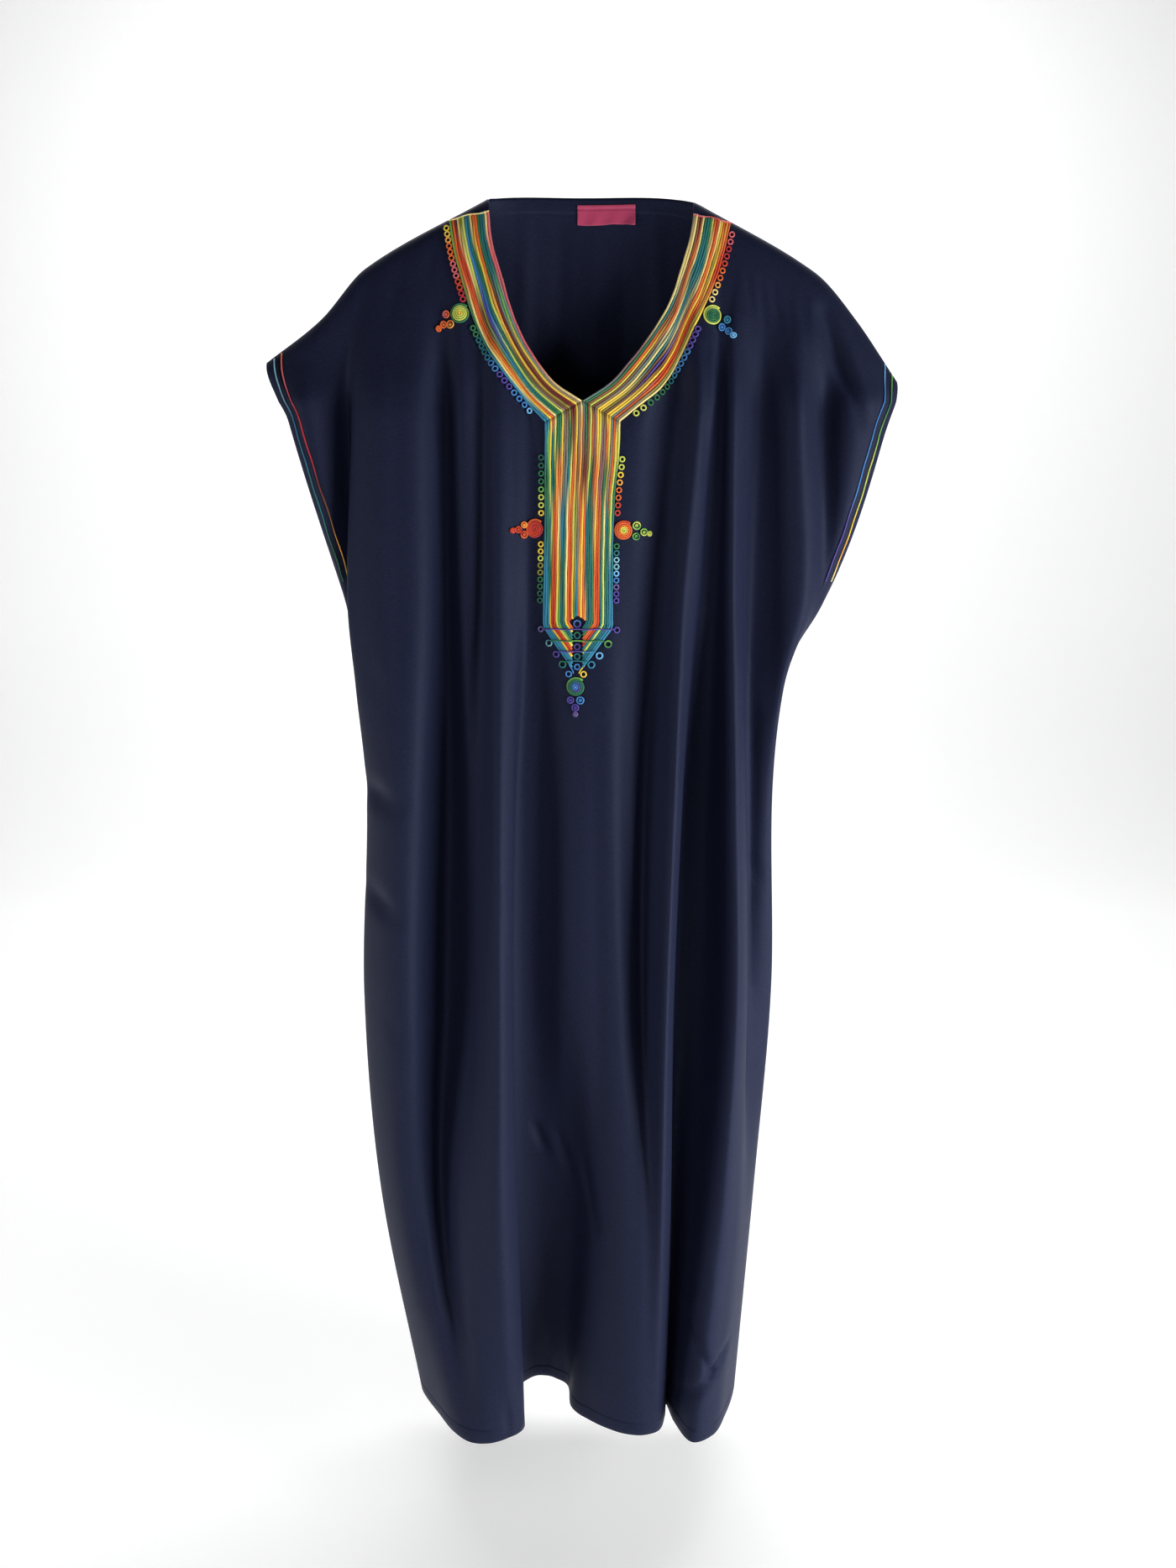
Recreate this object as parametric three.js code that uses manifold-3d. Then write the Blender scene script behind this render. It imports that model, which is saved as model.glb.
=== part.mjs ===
// A long kaftan (gandoura) of navy crepe with short cut-on sleeves, hanging from its shoulders.
// Units are millimetres. +Z is up, the front faces -Y, and X runs across the garment.
// The origin is between the shoulders, at the height of the left neck corner, on the shoulder seam's plane.
import * as THREE from "three";
import { mergeVertices } from "three/addons/utils/BufferGeometryUtils.js";
import Module from "manifold-3d";

// ---- driving dimensions ----
const LENGTH = 1351; // neck corner to hem
const WALL = 1.6; // cloth, with its seam allowances and hems evened out
const SEAM_GAP = 0.3; // between two pieces that are sewn together
const SEAM_NEAR = 8; // edges closer than this end square to each other
const NECK_DEPTH = 202; // neck corner to the point of the V
const HANG_RIDGE = 6; // how far the cloth stands off right under the shoulder line
const RIDGE_FALL = 8; // the drop over which it does so
const START_FALL = { neck: 150, tip: 60 }; // the drop over which a column leaves its place on the top edge
const NECK_SPREAD = 60; // how soon the neck edge stands clear of the corner
const BUST = 36; // how far the cloth stands off at chest height, its folds apart
const FOLD_GROWTH = 2.4; // how late the folds grow above the chest
const SETTLE = 0.15; // how early that growth begins to level off at the chest
const SLEEVE_GAPE = 14; // each side of a sleeve opening, from the shoulder plane
const SLEEVE_REACH = 0.35; // how far in from the sleeve edge it fades, in the units of start
const BUST_SPREAD = 1.02; // a little over 1, so that the bust's width still has some depth at the tips

// The shoulder line on each side, from the neck corner out to the sleeve tip.
const SHOULDERS = {
  left: { across: [95, 223, 271, 330], drop: [0, 67, 117, 160] },
  right: { across: [114, 240, 284, 330], drop: [3, 71, 117, 179] },
};
// The V edge of the front: how far it is from the middle, by drop.
const NECK_EDGE = {
  left: { drop: [0, 40, 75, 110, 140, 165, 185, 202], across: [95, 92, 82.5, 72, 59.5, 43.5, 26.5, 0] },
  right: { drop: [3, 40, 75, 110, 140, 165, 185, 202], across: [114, 109.5, 99, 86, 66.5, 46.5, 27.5, 0] },
};
// The back neck edge is nearly straight, a little above the corners and behind them.
const BACK_NECK = { drop: -6, out: 14, falls: 4 }; // falls: how late it comes down to a corner

// Heights at which the folds are laid out, below the origin.
const LEVELS = { chest: 200, arm: 400, rib: 500, waist: 620, hip: 850, knee: 1090, hem: LENGTH };

// Each row is one crest, flank or trough that runs from the top edge to the hem.
// start: its place on the top edge: -2 left sleeve tip, -1 left neck corner, 0 point of the V, up to 2
// across: x at chest, arm, rib, waist, hip, knee, hem
// out: how far it stands in front of the shoulder plane, at the same heights
const FRONT_FOLDS = [
  {
    name: "left seam",
    start: -2,
    across: [-313, -262, -246, -236, -242, -230, -192],
    out: [0, -15, -35, -45, -50, -48, -42],
  },
  {
    name: "left wing crest",
    start: -1.85,
    across: [-286, -258, -246, -238, -248, -236, -196],
    out: [24, -4, -20, -25, -28, -25, -20],
  },
  {
    name: "left wing trough",
    start: -1.66,
    across: [-246, -247, -245, -240, -251, -239, -198],
    out: [2, 0, -6, -8, -5, 0, 4],
  },
  {
    name: "left fold edge",
    start: -1.53,
    across: [-234, -249, -244, -237, -248, -236, -195],
    out: [26, 28, 24, 20, 20, 26, 30],
  },
  {
    name: "left crest",
    start: -1.45,
    across: [-208, -212, -208, -202, -206, -203, -168],
    out: [40, 48, 56, 62, 66, 68, 74],
  },
  {
    name: "left crest flank",
    start: -1.33,
    across: [-168, -168, -172, -178, -186, -182, -148],
    out: [38, 46, 54, 60, 66, 68, 102],
  },
  {
    name: "deep trough",
    start: -1.21,
    across: [-143, -147, -148, -150, -157, -164, -128],
    out: [12, 10, 10, 10, 14, 44, 118],
  },
  {
    name: "small crest",
    start: -1.14,
    across: [-122, -123, -124, -124, -127, -136, -108],
    out: [34, 34, 34, 34, 42, 82, 120],
  },
  {
    name: "small trough",
    start: -1.08,
    across: [-104, -107, -110, -112, -114, -112, -92],
    out: [25, 28, 36, 44, 66, 100, 115],
  },
  {
    name: "middle crest",
    start: -0.93,
    across: [-88, -88, -88, -89, -91, -90, -78],
    out: [38, 50, 62, 76, 92, 108, 107],
  },
  {
    name: "middle crest edge",
    start: -0.72,
    across: [-68, -71, -73, -75, -77, -74, -68],
    out: [34, 42, 52, 62, 72, 84, 92],
  },
  {
    name: "valley side",
    start: -0.5,
    across: [-52, -57, -64, -73, -80, -82, -84],
    out: [30, 33, 34, 36, 36, 36, 36],
  },
  {
    name: "valley floor",
    start: -0.33,
    across: [-38, -42, -46, -52, -56, -52, -56],
    out: [32, 36, 34, 32, 28, 24, 6],
  },
  {
    name: "centre left",
    start: -0.17,
    across: [-18, -22, -22, -22, -24, -12, -20],
    out: [34, 42, 46, 50, 48, 36, 22],
  },
  {
    name: "centre",
    start: 0,
    across: [0, -2, 2, 6, 10, 14, -12],
    out: [35, 45, 53, 60, 60, 66, 64],
  },
  {
    name: "centre right",
    start: 0.25,
    across: [24, 26, 29, 32, 40, 44, 36],
    out: [37, 46, 56, 64, 66, 86, 100],
  },
  {
    name: "placket side",
    start: 0.5,
    across: [60, 53, 52, 52, 56, 64, 60],
    out: [38, 40, 46, 52, 54, 90, 107],
  },
  {
    name: "right trough",
    start: 0.72,
    across: [95, 79, 73, 67, 67, 76, 74],
    out: [24, 28, 34, 40, 46, 90, 106],
  },
  {
    name: "right crest",
    start: 1.03,
    across: [120, 104, 100, 96, 90, 88, 88],
    out: [46, 56, 68, 82, 92, 98, 99],
  },
  {
    name: "right crest edge",
    start: 1.1,
    across: [132, 116, 110, 105, 99, 99, 96],
    out: [41, 46, 55, 66, 72, 74, 76],
  },
  {
    name: "right valley",
    start: 1.15,
    across: [140, 128, 121, 113, 106, 104, 99],
    out: [29, 26, 24, 24, 24, 30, 56],
  },
  {
    name: "right valley far side",
    start: 1.2,
    across: [147, 142, 140, 138, 136, 126, 107],
    out: [29, 25, 23, 23, 26, 50, 86],
  },
  {
    name: "narrow crest",
    start: 1.25,
    across: [154, 157, 159, 162, 167, 153, 125],
    out: [42, 46, 58, 72, 82, 93, 118],
  },
  {
    name: "narrow crest edge",
    start: 1.3,
    across: [164, 166, 170, 174, 181, 174, 150],
    out: [36, 36, 46, 56, 62, 76, 106],
  },
  {
    name: "side trough",
    start: 1.4,
    across: [188, 184, 181, 180, 184, 190, 168],
    out: [12, 8, 10, 13, 18, 42, 72],
  },
  {
    name: "right side crest",
    start: 1.55,
    across: [222, 234, 216, 209, 216, 203, 181],
    out: [38, 32, 22, 10, 2, 8, 36],
  },
  {
    name: "right wing trough",
    start: 1.7,
    across: [254, 254, 216, 211, 218, 205, 187],
    out: [6, 10, -6, -14, -18, -14, 4],
  },
  {
    name: "right wing crest",
    start: 1.82,
    across: [280, 263, 212, 208, 214, 202, 188],
    out: [22, 0, -20, -28, -34, -30, -22],
  },
  {
    name: "right seam",
    start: 2,
    across: [327, 268, 207, 201, 206, 196, 184],
    out: [0, -15, -35, -45, -50, -48, -42],
  },
];
// The same for the back, where out is how far a fold stands behind the shoulder plane.
const BACK_FOLDS = [
  {
    name: "left seam",
    start: -2,
    across: [-313, -262, -246, -236, -242, -230, -192],
    out: [0, 15, 35, 45, 50, 48, 42],
  },
  {
    name: "left wing",
    start: -1.8,
    across: [-282, -256, -238, -228, -232, -220, -186],
    out: [26, 30, 52, 64, 72, 74, 70],
  },
  {
    name: "left side crest",
    start: -1.55,
    across: [-236, -232, -216, -204, -204, -188, -168],
    out: [34, 50, 68, 82, 94, 98, 98],
  },
  {
    name: "left trough",
    start: -1.3,
    across: [-186, -188, -182, -172, -166, -152, -136],
    out: [16, 26, 36, 44, 54, 62, 72],
  },
  {
    name: "left crest",
    start: -1.1,
    across: [-140, -142, -138, -132, -126, -114, -104],
    out: [34, 52, 66, 80, 94, 104, 112],
  },
  {
    name: "left inner trough",
    start: -0.75,
    across: [-84, -92, -90, -86, -84, -76, -70],
    out: [22, 34, 42, 50, 58, 64, 68],
  },
  {
    name: "middle left crest",
    start: -0.3,
    across: [-36, -44, -44, -42, -42, -36, -34],
    out: [34, 48, 60, 72, 88, 100, 108],
  },
  {
    name: "middle trough",
    start: 0.08,
    across: [6, 0, -2, -2, -2, 0, 2],
    out: [24, 36, 44, 50, 60, 66, 72],
  },
  {
    name: "middle right crest",
    start: 0.45,
    across: [48, 42, 38, 36, 36, 38, 38],
    out: [36, 52, 64, 76, 92, 104, 112],
  },
  {
    name: "right inner trough",
    start: 0.85,
    across: [92, 84, 78, 74, 74, 74, 70],
    out: [22, 32, 40, 46, 54, 60, 66],
  },
  {
    name: "right crest",
    start: 1.15,
    across: [142, 132, 122, 116, 116, 110, 104],
    out: [34, 50, 64, 78, 92, 100, 106],
  },
  {
    name: "right trough",
    start: 1.38,
    across: [192, 184, 164, 154, 156, 148, 136],
    out: [16, 26, 38, 46, 56, 62, 70],
  },
  {
    name: "right side crest",
    start: 1.6,
    across: [242, 234, 192, 182, 186, 176, 164],
    out: [34, 48, 64, 74, 84, 90, 92],
  },
  {
    name: "right wing",
    start: 1.82,
    across: [286, 260, 204, 196, 202, 192, 180],
    out: [26, 28, 48, 58, 66, 68, 66],
  },
  {
    name: "right seam",
    start: 2,
    across: [327, 268, 207, 201, 206, 196, 184],
    out: [0, 15, 35, 45, 50, 48, 42],
  },
];
const ROWS = 22; // from the top edge to the hem, closer together near the top
const ROW_CROWDING = 1.5;
const FRONT_STEPS = 2; // columns from one fold row to the next
const BACK_STEPS = 3;
const SCAN_STEPS = 8; // looks for each fold row when a point is found on a panel
const SCAN_HALVINGS = 14;
const NORMAL_REACH = 1.5; // to each side of a point, for the way that the panel faces there

// Couched-cord trim.
const BAND = {
  endDrop: 223, // where the outer edge meets the placket
  backing: 0.9, // under the cords
  cord: 1.3, // how much the cords add
  clear: 2, // kept from the shoulder line
  innerTop: 14, // drop of its inner top corner below the neck corner
};
// The outer edge of a band: how far it is from the middle, by drop. It starts on the shoulder line.
const BAND_EDGE = {
  left: { drop: [20, 55, 90, 125, 160, 190, 223], across: [136, 130.5, 121, 110, 91, 69, 38] },
  right: { drop: [22, 55, 90, 125, 160, 190, 223], across: [152, 144.5, 133, 117, 101, 79, 39.5] },
};
// The placket's sides by drop, and the pointed end below them.
const PLACKET_SIDES = {
  drop: [223, 260, 295, 330, 380, 432],
  left: [-38, -38.5, -38.8, -39, -40.3, -41.3],
  right: [39.5, 37.7, 34, 32.4, 31.7, 31.8],
};
const PLACKET = {
  squareEnd: 432, // drop at which the sides end and the pointed end starts
  pointDrop: 471,
  pointLeft: -14,
  pointRight: 4,
  squareShare: 0.85, // the share of the rows above the pointed end
  rows: 17,
};
const CORDS = 8; // raised cord pairs across one half
const BAND_ROWS = 12;
const MITRE_GAP = 0.5;
const EDGE_CLEAR = 0.06; // share of the band's width kept clear of the V edge

// Trim is made a little way into the wall, then cut back to SEAM_GAP off its true faces.
const SINK = 0.8;
const CUT_DEPTH = 2.3; // how far past the middle of the wall that cut reaches
const TRIM_ROWS = 15; // the rows of a panel that carry trim

// Spiral cord medallions: centre, in x and drop.
const MEDALLION = { radius: 9.8, crown: 2.2, sectors: 16 };
// From the underside's edge inwards: the share of the radius, and the height off the cloth.
const MEDALLION_RINGS = [
  { share: 1, height: -SINK },
  { share: 1, height: 1.7 },
  { share: 0.72, height: 1.1 },
  { share: 0.48, height: 2.2 },
  { share: 0.24, height: 1.1 },
];
const MEDALLIONS = [
  { name: "medallion_collar_left", across: -124.5, drop: 115 },
  { name: "medallion_collar_right", across: 133, drop: 117 },
  { name: "medallion_placket_left", across: -49.4, drop: 330 },
  { name: "medallion_placket_right", across: 42.8, drop: 332 },
  { name: "medallion_point", across: -6.5, drop: 494 },
];

// A pair of braided cords runs beside each sleeve opening, on the front and on the back.
const BRAID = {
  inset: 11,
  width: 7,
  cord: 1.1, // the height of each of its two cords
  between: 0.55, // and of the thread beside and between them
  topDrop: 12, // below the sleeve tip
  endDrop: 378,
  columns: 4,
  rows: 12,
};

const LABEL = { left: -5, right: 55, top: 1, bottom: 20, thick: 0.6, columns: 6, rows: 2 };

const CLOTH = new THREE.MeshStandardMaterial({ color: 0x1c2036, roughness: 0.62, metalness: 0 });
const CORD = new THREE.MeshStandardMaterial({ color: 0xa98a3c, roughness: 0.5, metalness: 0 });
const LABEL_CLOTH = new THREE.MeshStandardMaterial({ color: 0xb03e5e, roughness: 0.6, metalness: 0 });

// ---- small helpers ----
const mix = (a, b, t) => a + (b - a) * t;
const clamp = (t) => Math.min(1, Math.max(0, t));

// The lesser of t and 1, rounded where they meet.
function settle(t) {
  if (t <= 1 - SETTLE) return t;
  return 1 - Math.max(0, 1 + SETTLE - t) ** 2 / (4 * SETTLE);
}
const easeOut = (t) => 1 - clamp(t) * clamp(t) * (3 - 2 * clamp(t));

// A smooth curve through (at, value) pairs, level past both ends.
function through(at, value, t) {
  const last = at.length - 1;
  if (t <= at[0]) return value[0];
  if (t >= at[last]) return value[last];
  let i = 0;
  while (at[i + 1] < t) i += 1;
  const slope = (k) => {
    const before = Math.max(0, k - 1);
    const after = Math.min(last, k + 1);
    return (value[after] - value[before]) / (at[after] - at[before]);
  };
  const step = at[i + 1] - at[i];
  const s = (t - at[i]) / step;
  const rise = value[i + 1] - value[i];
  const bend = s * (1 - s) * ((slope(i) * step - rise) * (1 - s) - (slope(i + 1) * step - rise) * s);
  return value[i] + rise * s + bend;
}

// ---- the top edge ----
function shoulderDrop(x) {
  const side = x < 0 ? SHOULDERS.left : SHOULDERS.right;
  return through(side.across, side.drop, Math.abs(x));
}

// A place on the top edge: start runs from -2 at the left sleeve tip to 2 at the right one.
function topEdge(start, front) {
  const key = start < 0 ? "left" : "right";
  const sign = start < 0 ? -1 : 1;
  const along = Math.abs(start);
  const corner = SHOULDERS[key].across[0];
  const tip = SHOULDERS[key].across[3];
  if (along >= 1) {
    const x = sign * mix(corner, tip, along - 1);
    return { x, drop: shoulderDrop(x), seam: true };
  }
  const cornerDrop = SHOULDERS[key].drop[0];
  if (!front) {
    const drop = mix(BACK_NECK.drop, cornerDrop, along ** BACK_NECK.falls);
    return { x: sign * corner * along, drop, seam: false };
  }
  const drop = mix(cornerDrop, NECK_DEPTH, 1 - along);
  return { x: sign * through(NECK_EDGE[key].drop, NECK_EDGE[key].across, drop), drop, seam: false };
}

// How far a sleeve opening stands open, front and back alike: a lens from its tip to the underarm.
function gape(start, drop) {
  const tip = SHOULDERS[start < 0 ? "left" : "right"].drop[3];
  const along = clamp((drop - tip) / (LEVELS.arm - tip));
  const near = clamp(1 - (2 - Math.abs(start)) / SLEEVE_REACH);
  return SLEEVE_GAPE * Math.sin(Math.PI * along) * near * near * (3 - 2 * near);
}

// ---- a panel: a surface over (column, drop), from its table of folds ----
const LEVEL_DROPS = Object.values(LEVELS);

function panel(folds, front) {
  const facing = front ? -1 : 1;
  const sections = LEVEL_DROPS.map((_, level) => {
    const points = folds.map((fold) => new THREE.Vector3(fold.across[level], facing * fold.out[level], 0));
    return new THREE.CatmullRomCurve3(points, false, "centripetal");
  });
  const last = folds.length - 1;

  function column(c) {
    const k = Math.min(last - 1, Math.floor(c * last));
    const start = mix(folds[k].start, folds[k + 1].start, c * last - k);
    const top = topEdge(start, front);
    const places = sections.map((section) => section.getPoint(c));
    const acrosses = places.map((p) => p.x);
    const outs = places.map((p) => p.y);
    const shift = top.x - through(LEVEL_DROPS, acrosses, top.drop);
    const fall = mix(START_FALL.neck, START_FALL.tip, clamp(Math.abs(start) - 1));
    return (drop) => {
      const fade = easeOut((drop - top.drop) / fall);
      const x = through(LEVEL_DROPS, acrosses, drop) + shift * fade;
      const edge = top.seam ? shoulderDrop(top.x) : 0;
      const below = Math.max(0, drop - edge);
      const grown = settle(below / (LEVELS.chest - edge));
      const clear = below + NECK_SPREAD * Math.max(0, 1 - Math.abs(start));
      const ridge = HANG_RIDGE * (1 - Math.exp(-clear / RIDGE_FALL)) * (1 - grown);
      const neck = front || top.seam ? 0 : BACK_NECK.out * (1 - start * start) * (1 - grown);
      const base = BUST * Math.sqrt(clamp(BUST_SPREAD - (top.x / SHOULDERS.right.across[3]) ** 2));
      const fold = facing * through(LEVEL_DROPS, outs, drop) - base;
      const y = ridge + neck + base * grown + fold * grown ** FOLD_GROWTH + gape(start, drop);
      return new THREE.Vector3(x, facing * y, -drop);
    };
  }

  // The point at row share v (0 top edge, 1 hem) of column c.
  function at(c, v) {
    const k = Math.min(last - 1, Math.floor(c * last));
    const top = topEdge(mix(folds[k].start, folds[k + 1].start, c * last - k), front);
    return column(c)(mix(top.drop, LENGTH, v));
  }

  // The outermost point of the panel at a given x and drop.
  const steps = SCAN_STEPS * last;
  const scan = Array.from({ length: steps + 1 }, (_, i) => column(i / steps));
  function on(x, drop) {
    const here = (c) => column(c)(drop);
    let best = null;
    let before = scan[0](drop);
    for (let i = 1; i <= steps; i += 1) {
      const now = scan[i](drop);
      const crosses = (before.x - x) * (now.x - x) <= 0;
      if (crosses && (!best || facing * now.y > facing * best.y)) best = { c: i / steps, y: now.y };
      before = now;
    }
    let low = (best.c * steps - 1) / steps;
    let high = best.c;
    const rising = here(high).x > here(low).x;
    for (let i = 0; i < SCAN_HALVINGS; i += 1) {
      const mid = (low + high) / 2;
      if (here(mid).x > x === rising) high = mid;
      else low = mid;
    }
    return here((low + high) / 2);
  }

  // The same point with the way the panel faces there.
  function placed(x, drop) {
    const point = on(x, drop);
    const aside = on(x + NORMAL_REACH, drop).sub(on(x - NORMAL_REACH, drop));
    const down = on(x, drop + NORMAL_REACH).sub(on(x, drop - NORMAL_REACH));
    const normal = aside.cross(down).normalize();
    if (normal.y * facing < 0) normal.negate();
    return { point, normal };
  }
  return { facing, at, on, placed, columns: last };
}

const frontPanel = panel(FRONT_FOLDS, true);
const backPanel = panel(BACK_FOLDS, false);

// ---- closed meshes from grids ----
// outer and inner are grids [column][row] of points; the wall between them is closed all round.
function closedWall(outer, inner, flip) {
  const columns = outer.length;
  const rows = outer[0].length;
  const positions = [];
  outer.concat(inner).forEach((line) => line.forEach((p) => positions.push(p.x, p.y, p.z)));
  const id = (side, c, r) => (side * columns + c) * rows + r;
  const index = [];
  const quad = (a, b, c, d) => {
    if (flip) index.push(a, c, b, a, d, c);
    else index.push(a, b, c, a, c, d);
  };
  for (let c = 0; c + 1 < columns; c += 1) {
    for (let r = 0; r + 1 < rows; r += 1) {
      quad(id(0, c, r), id(0, c, r + 1), id(0, c + 1, r + 1), id(0, c + 1, r));
      quad(id(1, c, r), id(1, c + 1, r), id(1, c + 1, r + 1), id(1, c, r + 1));
    }
    quad(id(0, c, 0), id(0, c + 1, 0), id(1, c + 1, 0), id(1, c, 0));
    quad(id(0, c, rows - 1), id(1, c, rows - 1), id(1, c + 1, rows - 1), id(0, c + 1, rows - 1));
  }
  for (let r = 0; r + 1 < rows; r += 1) {
    quad(id(0, 0, r), id(1, 0, r), id(1, 0, r + 1), id(0, 0, r + 1));
    const far = columns - 1;
    quad(id(0, far, r), id(0, far, r + 1), id(1, far, r + 1), id(1, far, r));
  }
  return geometryOf(positions, index);
}

function geometryOf(positions, index) {
  const geometry = new THREE.BufferGeometry();
  geometry.setAttribute("position", new THREE.Float32BufferAttribute(positions, 3));
  geometry.setIndex(index);
  geometry.computeVertexNormals();
  return geometry;
}

const wasm = await Module();
wasm.setup();

function solidOf(geometry) {
  const bare = new THREE.BufferGeometry();
  bare.setAttribute("position", geometry.getAttribute("position"));
  bare.setIndex(geometry.getIndex());
  const merged = mergeVertices(bare, 1e-4);
  const triVerts = new Uint32Array(merged.getIndex().array);
  const vertProperties = merged.getAttribute("position").array;
  return new wasm.Manifold(new wasm.Mesh({ numProp: 3, vertProperties, triVerts }));
}

// What is left of a piece outside the wall that it lies on.
function cutBack(geometry, cutter) {
  const rests = solidOf(geometry).subtract(cutter).decompose();
  rests.sort((a, b) => b.volume() - a.volume());
  const { vertProperties, triVerts } = rests[0].getMesh();
  return geometryOf(Array.from(vertProperties), Array.from(triVerts));
}

function meshOf(name, geometry, material) {
  const mesh = new THREE.Mesh(geometry, material.clone());
  mesh.name = name;
  return mesh;
}

// ---- front and back ----
function gridOf(cloth, steps) {
  const columns = cloth.columns * steps;
  return Array.from({ length: columns + 1 }, (_, c) =>
    Array.from({ length: ROWS + 1 }, (_, r) => cloth.at(c / columns, (r / ROWS) ** ROW_CROWDING)),
  );
}

function normalsOf(grid, facing) {
  const lastColumn = grid.length - 1;
  const lastRow = grid[0].length - 1;
  return grid.map((line, c) =>
    line.map((_, r) => {
      const aside = grid[Math.min(lastColumn, c + 1)][r].clone().sub(grid[Math.max(0, c - 1)][r]);
      const down = line[Math.min(lastRow, r + 1)].clone().sub(line[Math.max(0, r - 1)]);
      const normal = down.cross(aside).normalize();
      return facing < 0 ? normal : normal.negate();
    }),
  );
}

// Where two pieces meet, both walls end square to the same direction, half a gap from the seam.
function squareShoulders(grid, normals, cloth) {
  grid.forEach((line, c) => {
    const top = line[0];
    if (Math.abs(top.y) > SEAM_GAP) return;
    const before = grid[Math.max(0, c - 1)][0];
    const after = grid[Math.min(grid.length - 1, c + 1)][0];
    const along = new THREE.Vector3(after.x - before.x, 0, after.z - before.z);
    normals[c][0].set(-along.z, 0, along.x).normalize();
    if (normals[c][0].z < 0) normals[c][0].negate();
    top.y = (cloth.facing * SEAM_GAP) / 2;
  });
}

function squareSides(frontGrid, frontNormals, backGrid, backNormals) {
  const sides = [
    { edge: 0, frontNext: 1, backNext: 1, sign: -1 },
    { edge: frontGrid.length - 1, frontNext: frontGrid.length - 2, backNext: backGrid.length - 2, sign: 1 },
  ];
  sides.forEach(({ edge, frontNext, backNext, sign }) => {
    const backEdge = edge === 0 ? 0 : backGrid.length - 1;
    for (let r = 1; r <= ROWS; r += 1) {
      const ours = frontGrid[edge][r];
      const theirs = backGrid[backEdge][r];
      const apart = ours.distanceTo(theirs);
      if (apart > SEAM_NEAR) continue;
      const along = frontGrid[frontNext][r].clone().sub(backGrid[backNext][r]).setZ(0).normalize();
      const normal = new THREE.Vector3(-along.y, along.x, 0);
      if (normal.x * sign < 0) normal.negate();
      frontNormals[edge][r].copy(normal);
      backNormals[backEdge][r].copy(normal);
      const push = Math.max(0, SEAM_GAP - apart) / 2;
      ours.addScaledVector(along, push);
      theirs.addScaledVector(along, -push);
    }
  });
}

function wallBetween(grid, normals, facing, high, low) {
  const moved = (height) =>
    grid.map((line, c) => line.map((p, r) => p.clone().addScaledVector(normals[c][r], height)));
  return closedWall(moved(high), moved(low), facing > 0);
}

// The body's two walls, and for each face that carries trim the solid that trim is cut back by.
function makeBody() {
  const frontGrid = gridOf(frontPanel, FRONT_STEPS);
  const backGrid = gridOf(backPanel, BACK_STEPS);
  const frontNormals = normalsOf(frontGrid, frontPanel.facing);
  const backNormals = normalsOf(backGrid, backPanel.facing);
  squareShoulders(frontGrid, frontNormals, frontPanel);
  squareShoulders(backGrid, backNormals, backPanel);
  squareSides(frontGrid, frontNormals, backGrid, backNormals);
  const wall = (grid, normals, facing) => wallBetween(grid, normals, facing, WALL / 2, -WALL / 2);
  const cutter = (grid, normals, facing, high, low) => {
    const rows = (table) => table.map((line) => line.slice(0, TRIM_ROWS + 1));
    return solidOf(wallBetween(rows(grid), rows(normals), facing, high, low));
  };
  const off = WALL / 2 + SEAM_GAP;
  frontPanel.outside = cutter(frontGrid, frontNormals, frontPanel.facing, off, -CUT_DEPTH);
  backPanel.outside = cutter(backGrid, backNormals, backPanel.facing, off, -CUT_DEPTH);
  backPanel.inside = cutter(backGrid, backNormals, backPanel.facing, CUT_DEPTH, -off);
  return [
    meshOf("front", wall(frontGrid, frontNormals, frontPanel.facing), CLOTH),
    meshOf("back", wall(backGrid, backNormals, backPanel.facing), CLOTH),
  ];
}

// ---- pieces that lie on a panel ----
// place(across share, along share) gives x and drop; lift(across share) gives the height of the top.
function appliedMesh(name, cloth, columns, rows, place, lift, material, inside = false) {
  const outward = inside ? -1 : 1;
  const grid = (height) =>
    Array.from({ length: columns + 1 }, (_, c) =>
      Array.from({ length: rows + 1 }, (_, r) => {
        const spot = place(c / columns, r / rows);
        const { point, normal } = cloth.placed(spot.x, spot.drop);
        return point.addScaledVector(normal, outward * (WALL / 2 + height(c)));
      }),
    );
  const top = grid((c) => lift(c));
  const under = grid(() => -SINK);
  const flip = cloth.facing * outward > 0;
  const cutter = inside ? cloth.inside : cloth.outside;
  return meshOf(name, cutBack(closedWall(top, under, flip), cutter), material);
}

const cordLift = (c) => SEAM_GAP + BAND.backing + (c % 2) * BAND.cord;

function bandEdges(side, t) {
  const key = side < 0 ? "left" : "right";
  const neck = NECK_EDGE[key];
  const edge = BAND_EDGE[key];
  const innerDrop = mix(neck.drop[0] + BAND.innerTop, NECK_DEPTH, t);
  const outerTop = shoulderDrop(side * edge.across[0]) + BAND.clear;
  const outerDrop = mix(outerTop, BAND.endDrop, t);
  return {
    inner: { x: side * through(neck.drop, neck.across, innerDrop), drop: innerDrop },
    outer: { x: side * through(edge.drop, edge.across, outerDrop), drop: outerDrop },
  };
}

function collarBand(name, side) {
  const place = (across, along) => {
    const w = mix(EDGE_CLEAR, 1, side < 0 ? 1 - across : across);
    const edges = bandEdges(side, along);
    const x = mix(edges.inner.x, edges.outer.x, w);
    const drop = mix(edges.inner.drop, edges.outer.drop, w);
    const back = MITRE_GAP * along;
    return { x: x + side * back, drop: drop - back };
  };
  return appliedMesh(name, frontPanel, 2 * CORDS, BAND_ROWS, place, cordLift, CORD);
}

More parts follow.
